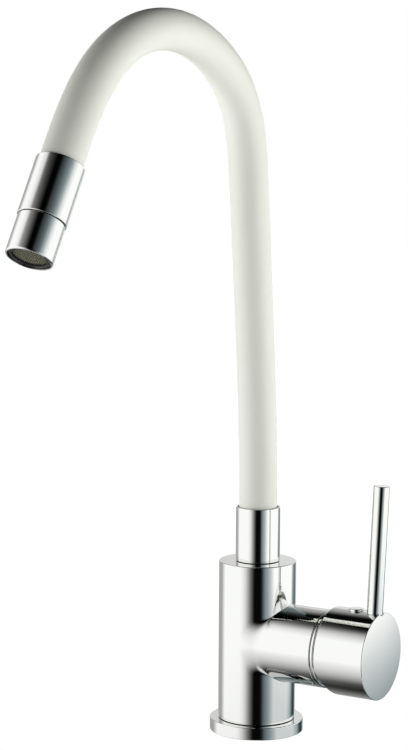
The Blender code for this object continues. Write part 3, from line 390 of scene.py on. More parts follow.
def cut(mesh, joined=(), removed=()):
    """Join and remove tool meshes exactly, and return the result."""
    scene = bpy.context.scene
    piece = bpy.data.objects.new("work", mesh)
    scene.collection.objects.link(piece)
    tools = []
    for operation, group in (("UNION", joined), ("DIFFERENCE", removed)):
        for tool_mesh in group:
            tool = bpy.data.objects.new("tool", tool_mesh)
            scene.collection.objects.link(tool)
            tools.append(tool)
            modifier = piece.modifiers.new("cut", "BOOLEAN")
            modifier.operation = operation
            modifier.solver = "EXACT"
            modifier.object = tool
    bpy.context.view_layer.update()
    ready = piece.evaluated_get(bpy.context.evaluated_depsgraph_get())
    result = bpy.data.meshes.new_from_object(ready)
    for old in [piece] + tools:
        bpy.data.objects.remove(old, do_unlink=True)
    return result


def turned_mesh(outline, lay, sides=SMALL_SIDES):
    bm = bmesh.new()
    add_turned(bm, outline, lay, sides)
    return to_mesh(bm)


def block_mesh(low, high, lay):
    bm = bmesh.new()
    bmesh.ops.create_cube(bm, size=1)
    size = Vector(high) - Vector(low)
    middle = (Vector(high) + Vector(low)) / 2
    bmesh.ops.transform(bm, matrix=lay @ Matrix.Translation(middle) @ Matrix.Diagonal((*size, 1)),
                        verts=bm.verts)
    return to_mesh(bm)


def show(name, mesh, material, slot, body, *nodes):
    """Put a finished piece in the scene, on the body that carries it."""
    mesh.name = name
    piece = bpy.data.objects.new(name, mesh)
    bpy.context.scene.collection.objects.link(piece)
    mesh.materials.clear()
    mesh.materials.append(material)
    if body:
        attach(piece, body)
    if nodes:
        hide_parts(*nodes)
    return piece


def show_turned(name, corners, lay, material, slot, body, *nodes, sides=TURNED_SIDES):
    outline = Outline(corners)
    mesh = turned_mesh(outline, lay, sides)
    shade(mesh, outline.surfaces(lay))
    show(name, mesh, material, slot, body, *nodes)


# Materials

def emptied(holder):
    """The node tree of a new material or world, with nothing in it."""
    holder.use_nodes = True
    holder.node_tree.nodes.clear()
    return holder.node_tree


def add_node(tree, kind, inputs=None, **settings):
    """Add a node with its settings; an input is a value or the socket that feeds it."""
    new = tree.nodes.new(kind)
    for name, value in settings.items():
        setattr(new, name, value)
    for name, value in (inputs or {}).items():
        if isinstance(value, bpy.types.NodeSocket):
            tree.links.new(value, new.inputs[name])
        else:
            new.inputs[name].default_value = value
    return new


def finish(name, tones, patch, roughness, grain, depth, stretch=(1, 1, 1), ior=None):
    """A material whose tone drifts over patches and whose surface has a fine grain.

    tones are two linear colours, patch and grain are sizes in millimetres, depth is the grain's
    height in millimetres, and roughness runs between two values. Without an IOR it is a metal.
    """
    ready = bpy.data.materials.get(name)
    if ready:
        return ready
    material = bpy.data.materials.new(name)
    tree = emptied(material)
    place = add_node(tree, "ShaderNodeTexCoord").outputs["Object"]
    laid = add_node(tree, "ShaderNodeMapping", {"Vector": place, "Scale": stretch})
    drift = add_node(tree, "ShaderNodeTexNoise",
                     {"Vector": place, "Scale": 1000 / patch, "Detail": 3.0})
    fine = add_node(tree, "ShaderNodeTexNoise",
                    {"Vector": laid.outputs["Vector"], "Scale": 1000 / grain, "Detail": 4.0})
    mix = add_node(tree, "ShaderNodeMix", {0: drift.outputs["Fac"], 6: (*tones[0], 1),
                                           7: (*tones[1], 1)}, data_type="RGBA")
    rough = add_node(tree, "ShaderNodeMapRange",
                     {"Value": drift.outputs["Fac"], "From Min": 0.3, "From Max": 0.7,
                      "To Min": roughness[0], "To Max": roughness[1]})
    bump = add_node(tree, "ShaderNodeBump",
                    {"Height": fine.outputs["Fac"], "Distance": depth / 1000, "Strength": 1.0})
    kind = {"Metallic": 0.0, "IOR": ior} if ior else {"Metallic": 1.0}
    surface = add_node(tree, "ShaderNodeBsdfPrincipled",
                       {"Base Color": mix.outputs[2], "Roughness": rough.outputs["Result"],
                        "Normal": bump.outputs["Normal"], **kind})
    add_node(tree, "ShaderNodeOutputMaterial", {"Surface": surface.outputs["BSDF"]})
    return material


# Where a real grain is too fine to show in a render it is drawn coarser, and the comment says so.

def chrome_casting(colours):
    # Brass casting, polished by hand and chrome plated: mirror bright, with the slow swell that
    # a polishing wheel leaves, so straight reflections waver a little.
    base = tuple(colours.chrome)
    return finish("Chrome plate on polished casting", (base, tuple(0.985 * v for v in base)),
                  patch=60, roughness=(0.030, 0.055), grain=22, depth=0.0016)


def chrome_tube(colours):
    # Drawn tube and turned parts, machine polished and chrome plated: straighter and cleaner
    # reflections than the casting.
    base = tuple(colours.chrome)
    return finish("Chrome plate on drawn tube", (base, tuple(0.985 * v for v in base)),
                  patch=40, roughness=(0.025, 0.045), grain=30, depth=0.0006)


def moulded_silicone(colours):
    # Extruded and blasted silicone rubber: soft matt white with a faint warm drift. The blasted
    # grain of some 0.1 mm is too fine to show, so it is drawn 2.5 mm wide and very shallow, and
    # catches no sharp light.
    base = tuple(colours.silicone)
    warm = (base[0], base[1] * 0.995, base[2] * 0.965)
    return finish("Satin silicone sleeve", (base, warm), patch=18, roughness=(0.46, 0.58),
                  grain=2.5, depth=0.003, ior=1.41)


def black_plastic(colours):
    # Moulded acetal: near black, with the soft shine of the mould. The mould's grain of some
    # 0.1 mm is drawn 0.5 mm wide.
    base = tuple(colours.black)
    return finish("Moulded black acetal", (base, tuple(1.6 * v for v in base)), patch=6,
                  roughness=(0.30, 0.45), grain=0.5, depth=0.006, ior=1.48)


def seal_rubber(colours):
    # Moulded nitrile rubber: dull black with a dusty bloom, drawn 0.4 mm wide, which is coarser
    # than the real specks.
    return finish("Moulded nitrile rubber", (linear("131313"), linear("242423")), patch=3,
                  roughness=(0.62, 0.80), grain=0.4, depth=0.010, ior=1.52)


def turned_brass(colours):
    # Brass turned on a lathe: yellow, with tool lines round it that are some 0.04 mm wide, as a
    # fine feed leaves them.
    return finish("Turned brass", (linear("C9A455"), linear("B48C3F")), patch=8,
                  roughness=(0.22, 0.36), grain=0.6, depth=0.004, stretch=(1, 1, 14))


def drawn_steel(colours):
    # Cold drawn stainless steel: grey, streaked along its length by marks 0.5 mm long and
    # 0.08 mm wide.
    return finish("Drawn stainless steel", (linear("B4B6B7"), linear("9A9C9E")), patch=5,
                  roughness=(0.24, 0.38), grain=0.5, depth=0.003, stretch=(6, 6, 1))


def woven_steel(colours):
    # Woven stainless wire, dulled by water: olive grey. The film on it is drawn in specks as
    # wide as the wire, because finer ones don't show.
    return finish("Woven stainless wire", (linear("A3A18A"), linear("82806B")), patch=2,
                  roughness=(0.30, 0.48), grain=0.3, depth=0.002)


def screen_shade(colours):
    # Glass-filled plastic behind the screen, darkened to a dark olive as painted shade from the
    # screen in front of it. The grain of its fibres is drawn 0.5 mm wide, which is coarser than
    # real.
    return finish("Aerator insert plastic in painted shade", (linear("4C4B3C"), linear("3B3A2F")), patch=4,
                  roughness=(0.45, 0.60), grain=0.5, depth=0.006, ior=1.49)


def tube_plastic(colours):
    # Extruded polyethylene: milky white with a waxy shine, and the die's ripple of 0.8 mm.
    return finish("Extruded polyethylene", (linear("DDE3E6"), linear("CED6DA")), patch=9,
                  roughness=(0.32, 0.44), grain=0.8, depth=0.005, ior=1.51)


def pale_plastic(colours):
    # Injection moulded acetal: off-white, slightly mottled. The mould's grain of some 0.1 mm is
    # drawn 0.6 mm wide.
    return finish("Moulded natural acetal", (linear("E3E1D8"), linear("D2D0C6")), patch=7,
                  roughness=(0.36, 0.50), grain=0.6, depth=0.006, ior=1.48)


def sintered_ceramic(colours):
    # Lapped alumina: hard off-white with a smooth, even shine. The lapping grain of a few
    # hundredths of a millimetre is drawn 0.2 mm wide.
    return finish("Lapped alumina", (linear("EFEDE6"), linear("E2DFD6")), patch=4,
                  roughness=(0.12, 0.24), grain=0.2, depth=0.001, ior=1.76)


# Cast body

def smooth(value):
    """0 up to 0, 1 from 1 on, and an even swing between."""
    value = np.clip(value, 0, 1)
    return value * value * (3 - 2 * value)


# Where the crease's soft run ends, as a share of the branch's radius, how long it takes to do so,
# and the reach over which the run starts at the barrel's side, in metres
BLEND_END, BLEND_FADE, BLEND_START = 0.55, 0.25, 0.010


def junction_normals(sizes, points):
    """Normals of barrel and branch, run into each other across the polished crease."""
    barrel = points * (1, 1, 0)
    branch = points * (0, 1, 1) - (0, 0, sizes.branch_height)
    off_barrel = np.linalg.norm(barrel, axis=1)
    off_branch = np.linalg.norm(branch, axis=1)
    barrel /= np.maximum(off_barrel, TINY)[:, None]
    branch /= np.maximum(off_branch, TINY)[:, None]
    rise = np.abs(points[:, 2] - sizes.branch_height) / sizes.branch_radius
    reach = points[:, 0]
    width = sizes.crease + (sizes.blend * (1 - smooth((rise - BLEND_END) / BLEND_FADE))
                            * smooth(reach / BLEND_START))
    past = (off_barrel - sizes.barrel_radius) - (off_branch - sizes.branch_radius)
    least = math.sqrt(sizes.barrel_radius ** 2 - sizes.branch_radius ** 2)
    share = smooth((past + width) / (2 * width)) * smooth(reach / least)
    mixed = barrel * (1 - share)[:, None] + branch * share[:, None]
    return mixed / np.maximum(np.linalg.norm(mixed, axis=1), TINY)[:, None], off_barrel, off_branch


def junction_surfaces(sizes):
    def barrel(points):
        normals, off_barrel, _ = junction_normals(sizes, points)
        return np.abs(off_barrel - sizes.barrel_radius) < ON_SURFACE, normals

    def branch(points):
        normals, _, off_branch = junction_normals(sizes, points)
        hit = (np.abs(off_branch - sizes.branch_radius) < ON_SURFACE) & (points[:, 0] > 0)
        return hit, normals
    return [barrel, branch]


# Inside of the casting, as in the solid model. The supply sockets and the stud's are given by
# their places, radius and depth.
INLET_SOCKETS = ((0.0050, -0.0068, 0.0045, 0.0110), (0.0050, 0.0068, 0.0045, 0.0110),
                 (-0.0110, 0, 0.0034, 0.0120))
SPOUT_SOCKET, SPOUT_FLOOR = 0.0110, 0.0840
OUTLET_BORE, OUTLET_FLOOR = 0.0031, 0.0750
NUT_BORE, NUT_FLOOR = 0.0199, 0.0429
CARTRIDGE_BORE, CARTRIDGE_FLOOR = 0.0179, 0.0140
RETAINER_HEIGHT, RETAINER_BORE = 0.0895, 0.0025
RETAINER_START, RETAINER_END = 0.0085, 0.0250
FOOT_LIFT = 0.0010
# Easing of inner edges, and the clearance between pieces that fit together
EASE = 0.0003
SHARP_EDGE = 0.0002
TUBE_EDGE = 0.0004


def eased(low, high):
    """Heights from one end to the other, close together at the first."""
    return [low + (high - low) * (step / JUNCTION_ROWS) ** 2 for step in range(JUNCTION_ROWS + 1)]


def body_mesh(sizes):
    """Barrel and branch as one skin that shares the curve where they meet, and the holes in it."""
    bm = bmesh.new()
    barrel, branch, axis = sizes.barrel_radius, sizes.branch_radius, sizes.branch_height
    top, foot = sizes.barrel_top - sizes.edge, sizes.barrel_foot + sizes.edge / 2
    end = sizes.branch_end - sizes.edge

    def on_barrel(turn, height, radius=barrel):
        return Vector((radius * math.sin(turn), -radius * math.cos(turn), height))

    turns, upper, lower = [], [], []
    for step in range(JUNCTION_STEPS + 1):
        lift = math.pi * step / JUNCTION_STEPS
        turn = math.acos(branch * math.cos(lift) / barrel)
        rise = branch * math.sin(lift)
        turns.append(turn)
        upper.append([on_barrel(turn, height) for height in eased(axis + rise, top)])
        lower.append([on_barrel(turn, height) for height in eased(axis - rise, foot)])
    add_grid(bm, upper)
    add_grid(bm, lower)
    first, last = turns[-1], math.tau + turns[0]
    rear = [first + (last - first) * step / REAR_COLUMNS for step in range(REAR_COLUMNS + 1)]
    heights = eased(axis, foot)[::-1] + eased(axis, top)[1:]
    add_grid(bm, [[on_barrel(turn, height) for height in heights] for turn in rear])
    rows = []
    for step in range(2 * JUNCTION_STEPS + 1):
        lift = math.pi * step / JUNCTION_STEPS
        start = math.sqrt(barrel ** 2 - (branch * math.cos(lift)) ** 2)
        rows.append([Vector((x, -branch * math.cos(lift), axis + branch * math.sin(lift)))
                     for x in eased(start, end)])
    add_grid(bm, rows)
    columns = turns + rear[1:]
    crown = Outline([(barrel, top - sizes.edge), (barrel, sizes.barrel_top, sizes.edge),
                     (SPOUT_SOCKET, sizes.barrel_top, EASE), (SPOUT_SOCKET, SPOUT_FLOOR),
                     (OUTLET_BORE, SPOUT_FLOOR), (OUTLET_BORE, OUTLET_FLOOR), (0, OUTLET_FLOOR)])
    base = Outline([(barrel, foot + sizes.edge), (barrel, sizes.barrel_foot, sizes.edge / 2),
                    (sizes.foot_radius, sizes.barrel_foot),
                    (sizes.foot_radius, FOOT_LIFT, EASE), (sizes.recess_radius, FOOT_LIFT, EASE),
                    (sizes.recess_radius, sizes.recess_roof)], closed=False)
    mouth = Outline([(branch, end - sizes.edge), (branch, sizes.branch_end, sizes.edge),
                     (NUT_BORE, sizes.branch_end, EASE), (NUT_BORE, NUT_FLOOR),
                     (CARTRIDGE_BORE, NUT_FLOOR), (CARTRIDGE_BORE, CARTRIDGE_FLOOR),
                     (0, CARTRIDGE_FLOOR)])
    for outline in (crown, base):
        add_grid(bm, [[on_barrel(turn, height, radius) for radius, height in outline.points[1:]]
                      for turn in columns])
    lay = branch_lay(sizes)
    add_grid(bm, [[Vector((height, -radius * math.cos(lift), axis + radius * math.sin(lift)))
                   for radius, height in mouth.points[1:]]
                  for lift in (math.pi * step / JUNCTION_STEPS
                               for step in range(2 * JUNCTION_STEPS + 1))])
    roof = sizes.recess_roof
    surfaces = junction_surfaces(sizes) + crown.surfaces(UPRIGHT) + base.surfaces(UPRIGHT)
    surfaces += mouth.surfaces(lay)
    for x, y, radius, depth in INLET_SOCKETS:
        socket = Outline([(radius, roof), (radius, roof + depth), (0, roof + depth)])
        place = Matrix.Translation((x, y, 0))
        add_grid(bm, [[place @ Vector((r * math.cos(turn), r * math.sin(turn), height))
                       for r, height in socket.points]
                      for turn in (math.tau * side / SMALL_SIDES
                                   for side in range(SMALL_SIDES + 1))])
        surfaces += socket.surfaces(place)
    bmesh.ops.remove_doubles(bm, verts=bm.verts, dist=WELD)
    rims = [edge for edge in bm.edges if edge.is_boundary]
    bmesh.ops.triangle_fill(bm, use_beauty=True, edges=rims)
    hole = Outline([(0, RETAINER_START), (RETAINER_BORE, RETAINER_START),
                    (RETAINER_BORE, RETAINER_END), (0, RETAINER_END)])
    mesh = cut(to_mesh(bm), removed=[turned_mesh(hole, retainer_lay())])
    shade(mesh, surfaces + hole.surfaces(retainer_lay()))
    return mesh


class MIXER_OT_cast_body(bpy.types.Operator):
    """Barrel and branch, cast in one and chrome plated"""
    bl_idname = "mixer.cast_body"
    bl_label = "Cast body"

    def execute(self, context):
        sizes, colours = context.scene.mixer_body, context.scene.mixer_colours
        show("cast_body", body_mesh(sizes), chrome_casting(colours), "chrome", "body",
             "mixer_body")
        return {"FINISHED"}


GROOVE_INSIDE, GROOVE_OUTSIDE, GROOVE_ROOF = 0.0218, 0.0260, 0.0020


class MIXER_OT_base_ring(bpy.types.Operator):
    """Chromed ring under the barrel, grooved for its gasket"""
    bl_idname = "mixer.base_ring"
    bl_label = "Base ring"

    def execute(self, context):
        sizes, colours = context.scene.mixer_body, context.scene.mixer_colours
        radius, height, bore = sizes.ring_radius, sizes.ring_height, sizes.foot_radius + EASE
        show_turned("foot_ring",
                    [(bore, 0), (GROOVE_INSIDE, 0), (GROOVE_INSIDE, GROOVE_ROOF),
                     (GROOVE_OUTSIDE, GROOVE_ROOF), (GROOVE_OUTSIDE, 0), (radius, 0, EASE),
                     (radius, height, sizes.edge), (bore, height, EASE)],
                    UPRIGHT, chrome_casting(colours), "chrome", "body", "base_ring")
        return {"FINISHED"}


RING_BORE, RING_GAP, RING_DEPTH = 0.0124, 0.0005, 0.0067
RING_LAND, RING_LAND_EDGE = 0.0022, 0.0012
RING_DOME, RING_DOME_ROUNDING = 0.0210, 0.0042


class MIXER_OT_branch_ring(bpy.types.Operator):
    """Domed ring that shows in the gap between branch and handle"""
    bl_idname = "mixer.branch_ring"
    bl_label = "Branch ring"

    def execute(self, context):
        sizes, colours = context.scene.mixer_body, context.scene.mixer_colours
        rear = sizes.branch_end + RING_GAP
        land, front = rear + RING_LAND, rear + RING_DEPTH
        show_turned("cover_ring",
                    [(RING_BORE, rear), (sizes.branch_radius, rear, SHARP_EDGE),
                     (sizes.branch_radius, land, RING_LAND_EDGE), (RING_DOME, land),
                     (RING_DOME, front, RING_DOME_ROUNDING), (RING_BORE, front)],
                    branch_lay(sizes), chrome_tube(colours), "chrome", "body", "branch_ring")
        return {"FINISHED"}


# Handle

SEAT_DEPTH = 0.0010
SEAT_CLEARANCE = 0.0005
STUD_RADIUS = 0.0028
STUD_LENGTH = 0.0110
LEVER_EDGE = 0.0005
HUB_RADIUS, HUB_REAR = 0.0080, 0.0610
FACE_THICKNESS = 0.0032
RIM_EDGE = 0.00025
BOSS_WALL = 0.0023
SCREW_BORE = 0.0029
SINK_DEPTH, SINK_FLOOR, SINK_MOUTH = 0.0017, 0.0031, 0.0075
STEM_SOCKET = ((0.0590, -0.0038, -0.0038), (0.0795, 0.0038, 0.0038))
RELIEF_SLANT, RELIEF_HALF_WIDTH = math.radians(-22), 0.0274
OVERCUT = 0.0020


def cap_mesh(body, handle):
    """The drum-shaped cap with its hub, lever seat, screw hole and slanted relief."""
    lay = branch_lay(body)
    radius, bore = handle.cap_radius, handle.cap_radius - handle.cap_wall
    inside = handle.cap_front - FACE_THICKNESS
    rim = handle.cap_front - handle.cap_crown
    drum = Outline([(0, HUB_REAR), (HUB_RADIUS, HUB_REAR), (HUB_RADIUS, inside), (bore, inside),
                    (bore, handle.cap_rear, RIM_EDGE), (radius, handle.cap_rear, RIM_EDGE),
                    (radius, rim, handle.cap_edge), (0, rim)])
    drum.points.pop()
    drum.lines.pop()
    drum.add_crown(drum.points[-1][0], rim, handle.cap_crown)
    seat, top = radius - SEAT_DEPTH, radius + OVERCUT
    hole, wide = STUD_RADIUS + EASE, handle.lever_radius + SEAT_CLEARANCE
    thick, wall = hole + BOSS_WALL, radius - handle.cap_wall / 2
    sink = radius - SINK_DEPTH
    boss = (Outline([(0, 0), (thick, 0), (thick, wall), (0, wall)]),
            over_branch(body, handle.lever_place))
    holes = ((Outline([(0, seat - STUD_LENGTH), (hole, seat - STUD_LENGTH), (hole, seat),
                       (wide, seat), (wide, top), (0, top)]), lever_lay(body, handle)),
             (Outline([(0, 0), (SCREW_BORE, 0), (SCREW_BORE, top), (0, top)]),
              over_branch(body, handle.screw_place)),
             (Outline([(0, sink), (SINK_FLOOR, sink), (SINK_MOUTH, top), (0, top)]),
              over_branch(body, handle.cover_place)))
    relief = (Matrix.Translation((handle.cap_rear, 0, body.branch_height - handle.relief_drop))
              @ Matrix.Rotation(RELIEF_SLANT, 4, "Y"))
    mesh = cut(turned_mesh(drum, lay, TURNED_SIDES), joined=[turned_mesh(*boss)],
               removed=[block_mesh(*STEM_SOCKET, over_branch(body, 0)),
                        *(turned_mesh(*tool) for tool in holes),
                        block_mesh((-radius, -RELIEF_HALF_WIDTH, -2 * radius),
                                   (0, RELIEF_HALF_WIDTH, 0), relief)])
    shade(mesh, [surface for outline, place in ((drum, lay), *holes, boss)
                 for surface in outline.surfaces(place)])
    return mesh


KEY_REACH, KEY_DEPTH = 0.0012, 0.0020
KEY_SIDES = 6
SCREW_SIDES = 48


def grub_mesh(lay, radius, tip, head):
    """Grub screw with a hexagonal socket for its key."""
    inner, floor = radius - EASE, head - KEY_DEPTH
    sixth = math.tau / KEY_SIDES
    shank = [(0, tip), (inner, tip), (radius, tip + EASE), (radius, head - EASE), (inner, head)]
    rows = []
    for side in range(SCREW_SIDES + 1):
        turn = math.tau * side / SCREW_SIDES
        flat = KEY_REACH * math.cos(sixth / 2) / math.cos(turn % sixth - sixth / 2)
        rows.append([lay @ Vector((reach * math.cos(turn), reach * math.sin(turn), height))
                     for reach, height in (*shank, (flat, head), (flat, floor), (0, floor))])
    bm = bmesh.new()
    add_grid(bm, rows)
    mesh = to_mesh(bm)
    shade(mesh, Outline([*shank, (KEY_REACH, head)], closed=False).surfaces(lay))
    return mesh


class MIXER_OT_handle_cap(bpy.types.Operator):
    """Drum-shaped cap of the handle"""
    bl_idname = "mixer.handle_cap"
    bl_label = "Handle cap"

    def execute(self, context):
        scene = context.scene
        show("handle_drum", cap_mesh(scene.mixer_body, scene.mixer_handle),
             chrome_casting(scene.mixer_colours), "chrome", "handle", "handle_cap")
        return {"FINISHED"}


class MIXER_OT_lever(bpy.types.Operator):
    """Long round lever, set in the cap"""
    bl_idname = "mixer.lever"
    bl_label = "Lever"

    def execute(self, context):
        scene = context.scene
        handle = scene.mixer_handle
        foot = handle.cap_radius - SEAT_DEPTH + EASE
        tip = foot - STUD_LENGTH + EASE
        show_turned("lever",
                    [(0, tip), (STUD_RADIUS, tip), (STUD_RADIUS, foot),
                     (handle.lever_radius, foot, EASE),
                     (handle.lever_radius, handle.lever_top, LEVER_EDGE), (0, handle.lever_top)],
                    lever_lay(scene.mixer_body, handle), chrome_tube(scene.mixer_colours),
                    "chrome", "handle", "lever_pin", sides=SMALL_SIDES)
        return {"FINISHED"}


COVER_STEM, COVER_STEM_LENGTH = 0.0016, 0.0050
COVER_SINK, COVER_EDGE = 0.0004, 0.0007


class MIXER_OT_screw_cover(bpy.types.Operator):
    """Button that closes the hole of the lever's grub screw"""
    bl_idname = "mixer.screw_cover"
    bl_label = "Screw cover"

    def execute(self, context):
        scene = context.scene
        handle = scene.mixer_handle
        crest, reach = handle.cap_radius + handle.cover_rise, handle.cover_radius
        foot = handle.cap_radius - COVER_SINK
        tip = foot - COVER_STEM_LENGTH
        show_turned("screw_cover",
                    [(0, tip), (COVER_STEM, tip), (COVER_STEM, foot), (reach, foot, SHARP_EDGE),
                     (reach, crest, COVER_EDGE), (0, crest)],
                    over_branch(scene.mixer_body, handle.cover_place),
                    chrome_tube(scene.mixer_colours), "chrome", "handle", sides=SMALL_SIDES)
        return {"FINISHED"}


# Radius of each grub screw, and where its tip and its head lie along its axis
LEVER_SCREW = (0.0025, 0.0038, 0.0090)
SPOUT_SCREW = (0.0022, 0.0092, 0.0212)


class MIXER_OT_grub_screws(bpy.types.Operator):
    """Grub screws of the handle and of the spout's retainer"""
    bl_idname = "mixer.grub_screws"
    bl_label = "Grub screws"

    def execute(self, context):
        scene = context.scene
        steel = drawn_steel(scene.mixer_colours)
        upright = over_branch(scene.mixer_body, scene.mixer_handle.screw_place)
        show("lever_grub_screw", grub_mesh(upright, *LEVER_SCREW), steel, "steel", "handle",
             "handle_screw")
        show("spout_grub_screw", grub_mesh(retainer_lay(), *SPOUT_SCREW), steel, "steel", "body",
             "retainer_screw")
        return {"FINISHED"}


# Spout

COLLAR_WALL = 0.0011
COLLAR_SKIRT = 0.0011
WASHER_BORE, WASHER_RADIUS, WASHER_FOOT, WASHER_TOP = 0.0110, 0.0122, 0.1027, 0.1035


class MIXER_OT_collar(bpy.types.Operator):
    """Chromed collar that the hose stands in, on its glide washer"""
    bl_idname = "mixer.collar"
    bl_label = "Swivel collar"

    def execute(self, context):
        sizes, colours = context.scene.mixer_spout, context.scene.mixer_colours
        bore = sizes.collar_radius - COLLAR_WALL
        skirt = sizes.collar_foot - COLLAR_SKIRT
        show_turned("collar",
                    [(bore, sizes.collar_foot), (bore + EASE, sizes.collar_foot),
                     (bore + EASE, skirt), (sizes.collar_radius, skirt, SHARP_EDGE),
                     (sizes.collar_radius, sizes.collar_top, TUBE_EDGE),
                     (bore, sizes.collar_top, EASE)],
                    UPRIGHT, chrome_tube(colours), "chrome", "spout_base", "swivel_collar")
        show_turned("collar_washer",
                    [(WASHER_BORE, WASHER_FOOT), (WASHER_RADIUS, WASHER_FOOT),
                     (WASHER_RADIUS, WASHER_TOP), (WASHER_BORE, WASHER_TOP)],
                    UPRIGHT, black_plastic(colours), "dark_plastic", "spout_base",
                    "glide_washer", sides=SMALL_SIDES)
        return {"FINISHED"}


def sleeve_mesh(name, path, sizes, start, end):
    """A stretch of the silicone sleeve; its skins carry the normals of the whole hose."""
    verts, faces, normals = [], [], []
    spokes = []
    for row in range(HOSE_ROWS + 1):
        heading, point = hose_frame(path, start + (end - start) * row / HOSE_ROWS)
        upright = Vector((0, math.cos(heading), math.sin(heading)))
        spokes.append([Vector((1, 0, 0)) * math.cos(math.tau * side / HOSE_SIDES)
                       + upright * math.sin(math.tau * side / HOSE_SIDES)
                       for side in range(HOSE_SIDES)])
        for radius in (sizes.hose_radius, sizes.hose_bore):
            verts += [point + spoke * radius for spoke in spokes[-1]]

    def vert(row, layer, side):
        return (row * 2 + layer) * HOSE_SIDES + side % HOSE_SIDES

    for row in range(HOSE_ROWS):
        for side in range(HOSE_SIDES):
            corners = ((row, side), (row, side + 1), (row + 1, side + 1), (row + 1, side))
            faces.append([vert(r, 0, s) for r, s in corners])
            normals += [spokes[r][s % HOSE_SIDES] for r, s in corners]
            faces.append([vert(r, 1, s) for r, s in reversed(corners)])
            normals += [-spokes[r][s % HOSE_SIDES] for r, s in reversed(corners)]
    for row, flip in ((0, True), (HOSE_ROWS, False)):
        for side in range(HOSE_SIDES):
            corners = [(0, side), (0, side + 1), (1, side + 1), (1, side)]
            corners = corners[::-1] if flip else corners
            faces.append([vert(row, layer, s) for layer, s in corners])
            heading = hose_frame(path, start + (end - start) * row / HOSE_ROWS)[0]
            along = Vector((0, -math.sin(heading), math.cos(heading)))
            normals += [-along if flip else along] * 4
    mesh = bpy.data.meshes.new(name)
    mesh.from_pydata(verts, [], faces)
    mesh.validate()
    mesh.shade_smooth()
    mesh.normals_split_custom_set(normals)
    return mesh


class MIXER_OT_hose(bpy.types.Operator):
    """Silicone sleeve of the hose, one stretch for each place where it bends"""
    bl_idname = "mixer.hose"
    bl_label = "Hose"

    def execute(self, context):
        sizes, colours = context.scene.mixer_spout, context.scene.mixer_colours
        path = hose_path(sizes.collar_top)
        middles = [(low + high) / 2 for low, high in zip(HOSE_PIVOTS, HOSE_PIVOTS[1:])]
        marks = [HOSE_FOOT] + middles + [HOSE_TIP]
        for index, pivot in enumerate(HOSE_PIVOTS):
            name = f"silicone_length_{index + 1}"
            mesh = sleeve_mesh(name, path, sizes, marks[index], marks[index + 1])
            nodes = [f"hose_sleeve_{index + 1}"]
            if index == len(HOSE_PIVOTS) - 1:
                nodes.append(f"hose_sleeve_{index + 2}")
            piece = show(name, mesh, moulded_silicone(colours), "silicone", None, *nodes)
            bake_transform(piece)
        return {"FINISHED"}


HEAD_WALL, NOZZLE_WALL = 0.0012, 0.0011
NOZZLE_EDGE = 0.0009


class MIXER_OT_spray_head(bpy.types.Operator):
    """The two chromed sleeves of the spray head"""
    bl_idname = "mixer.spray_head"
    bl_label = "Spray head"

    def execute(self, context):
        sizes, colours = context.scene.mixer_spout, context.scene.mixer_colours
        lay = head_lay(sizes)
        bore = sizes.head_radius - HEAD_WALL
        show_turned("head_upper_sleeve",
                    [(bore, 0, EASE), (sizes.head_radius, 0, TUBE_EDGE),
                     (sizes.head_radius, sizes.head_length, TUBE_EDGE),
                     (bore, sizes.head_length)],
                    lay, chrome_tube(colours), "chrome", "spray_head", "head_sleeve")
        face = sizes.head_length + EASE
        bore = sizes.nozzle_radius - NOZZLE_WALL
        show_turned("head_lower_sleeve",
                    [(bore, face), (sizes.nozzle_radius, face, TUBE_EDGE),
                     (sizes.nozzle_radius, sizes.nozzle_end, NOZZLE_EDGE),
                     (bore, sizes.nozzle_end, SHARP_EDGE)],
                    lay, chrome_tube(colours), "chrome", "nozzle", "nozzle_sleeve")
        return {"FINISHED"}


def screen_mesh(sizes, lay, height):
    """Plain weave of round wires, cut to a disc and bound by its housing."""
    bm = bmesh.new()
    pitch, wire, reach = sizes.wire_pitch, sizes.wire_radius, sizes.screen_radius
    count = int(reach / pitch)
    for across in (False, True):
        for index in range(-count, count + 1):
            offset = index * pitch
            half = math.sqrt(reach ** 2 - offset ** 2)
            steps = max(2, 2 * math.ceil(half / (pitch / 2)))
            rows = []
            for step in range(steps + 1):
                along = -half + 2 * half * step / steps
                lift = wire * math.cos(math.pi * along / pitch + math.pi * index)
                lift = -lift if across else lift
                row = []
                for side in range(WIRE_SIDES + 1):
                    turn = math.tau * side / WIRE_SIDES
                    out = offset + wire * math.cos(turn)
                    up = height + lift + wire * math.sin(turn)
                    row.append(lay @ Vector((out, along, up) if across else (along, out, up)))
                rows.append(row)
            add_grid(bm, rows)
    bmesh.ops.remove_doubles(bm, verts=bm.verts, dist=WELD)
    bmesh.ops.holes_fill(bm, edges=[edge for edge in bm.edges if edge.is_boundary])
    mesh = to_mesh(bm)
    mesh.shade_smooth()
    return mesh


SHELL_SINK, SHELL_RADIUS, SHELL_LENGTH = 0.0008, 0.0110, 0.0100
SHELL_MOUTH, SHELL_BORE, LIP_BORE = 0.0089, 0.0084, 0.0072
LIP_FRONT, LIP_BACK = 0.0021, 0.0033
SCREEN_SINK = 0.0011


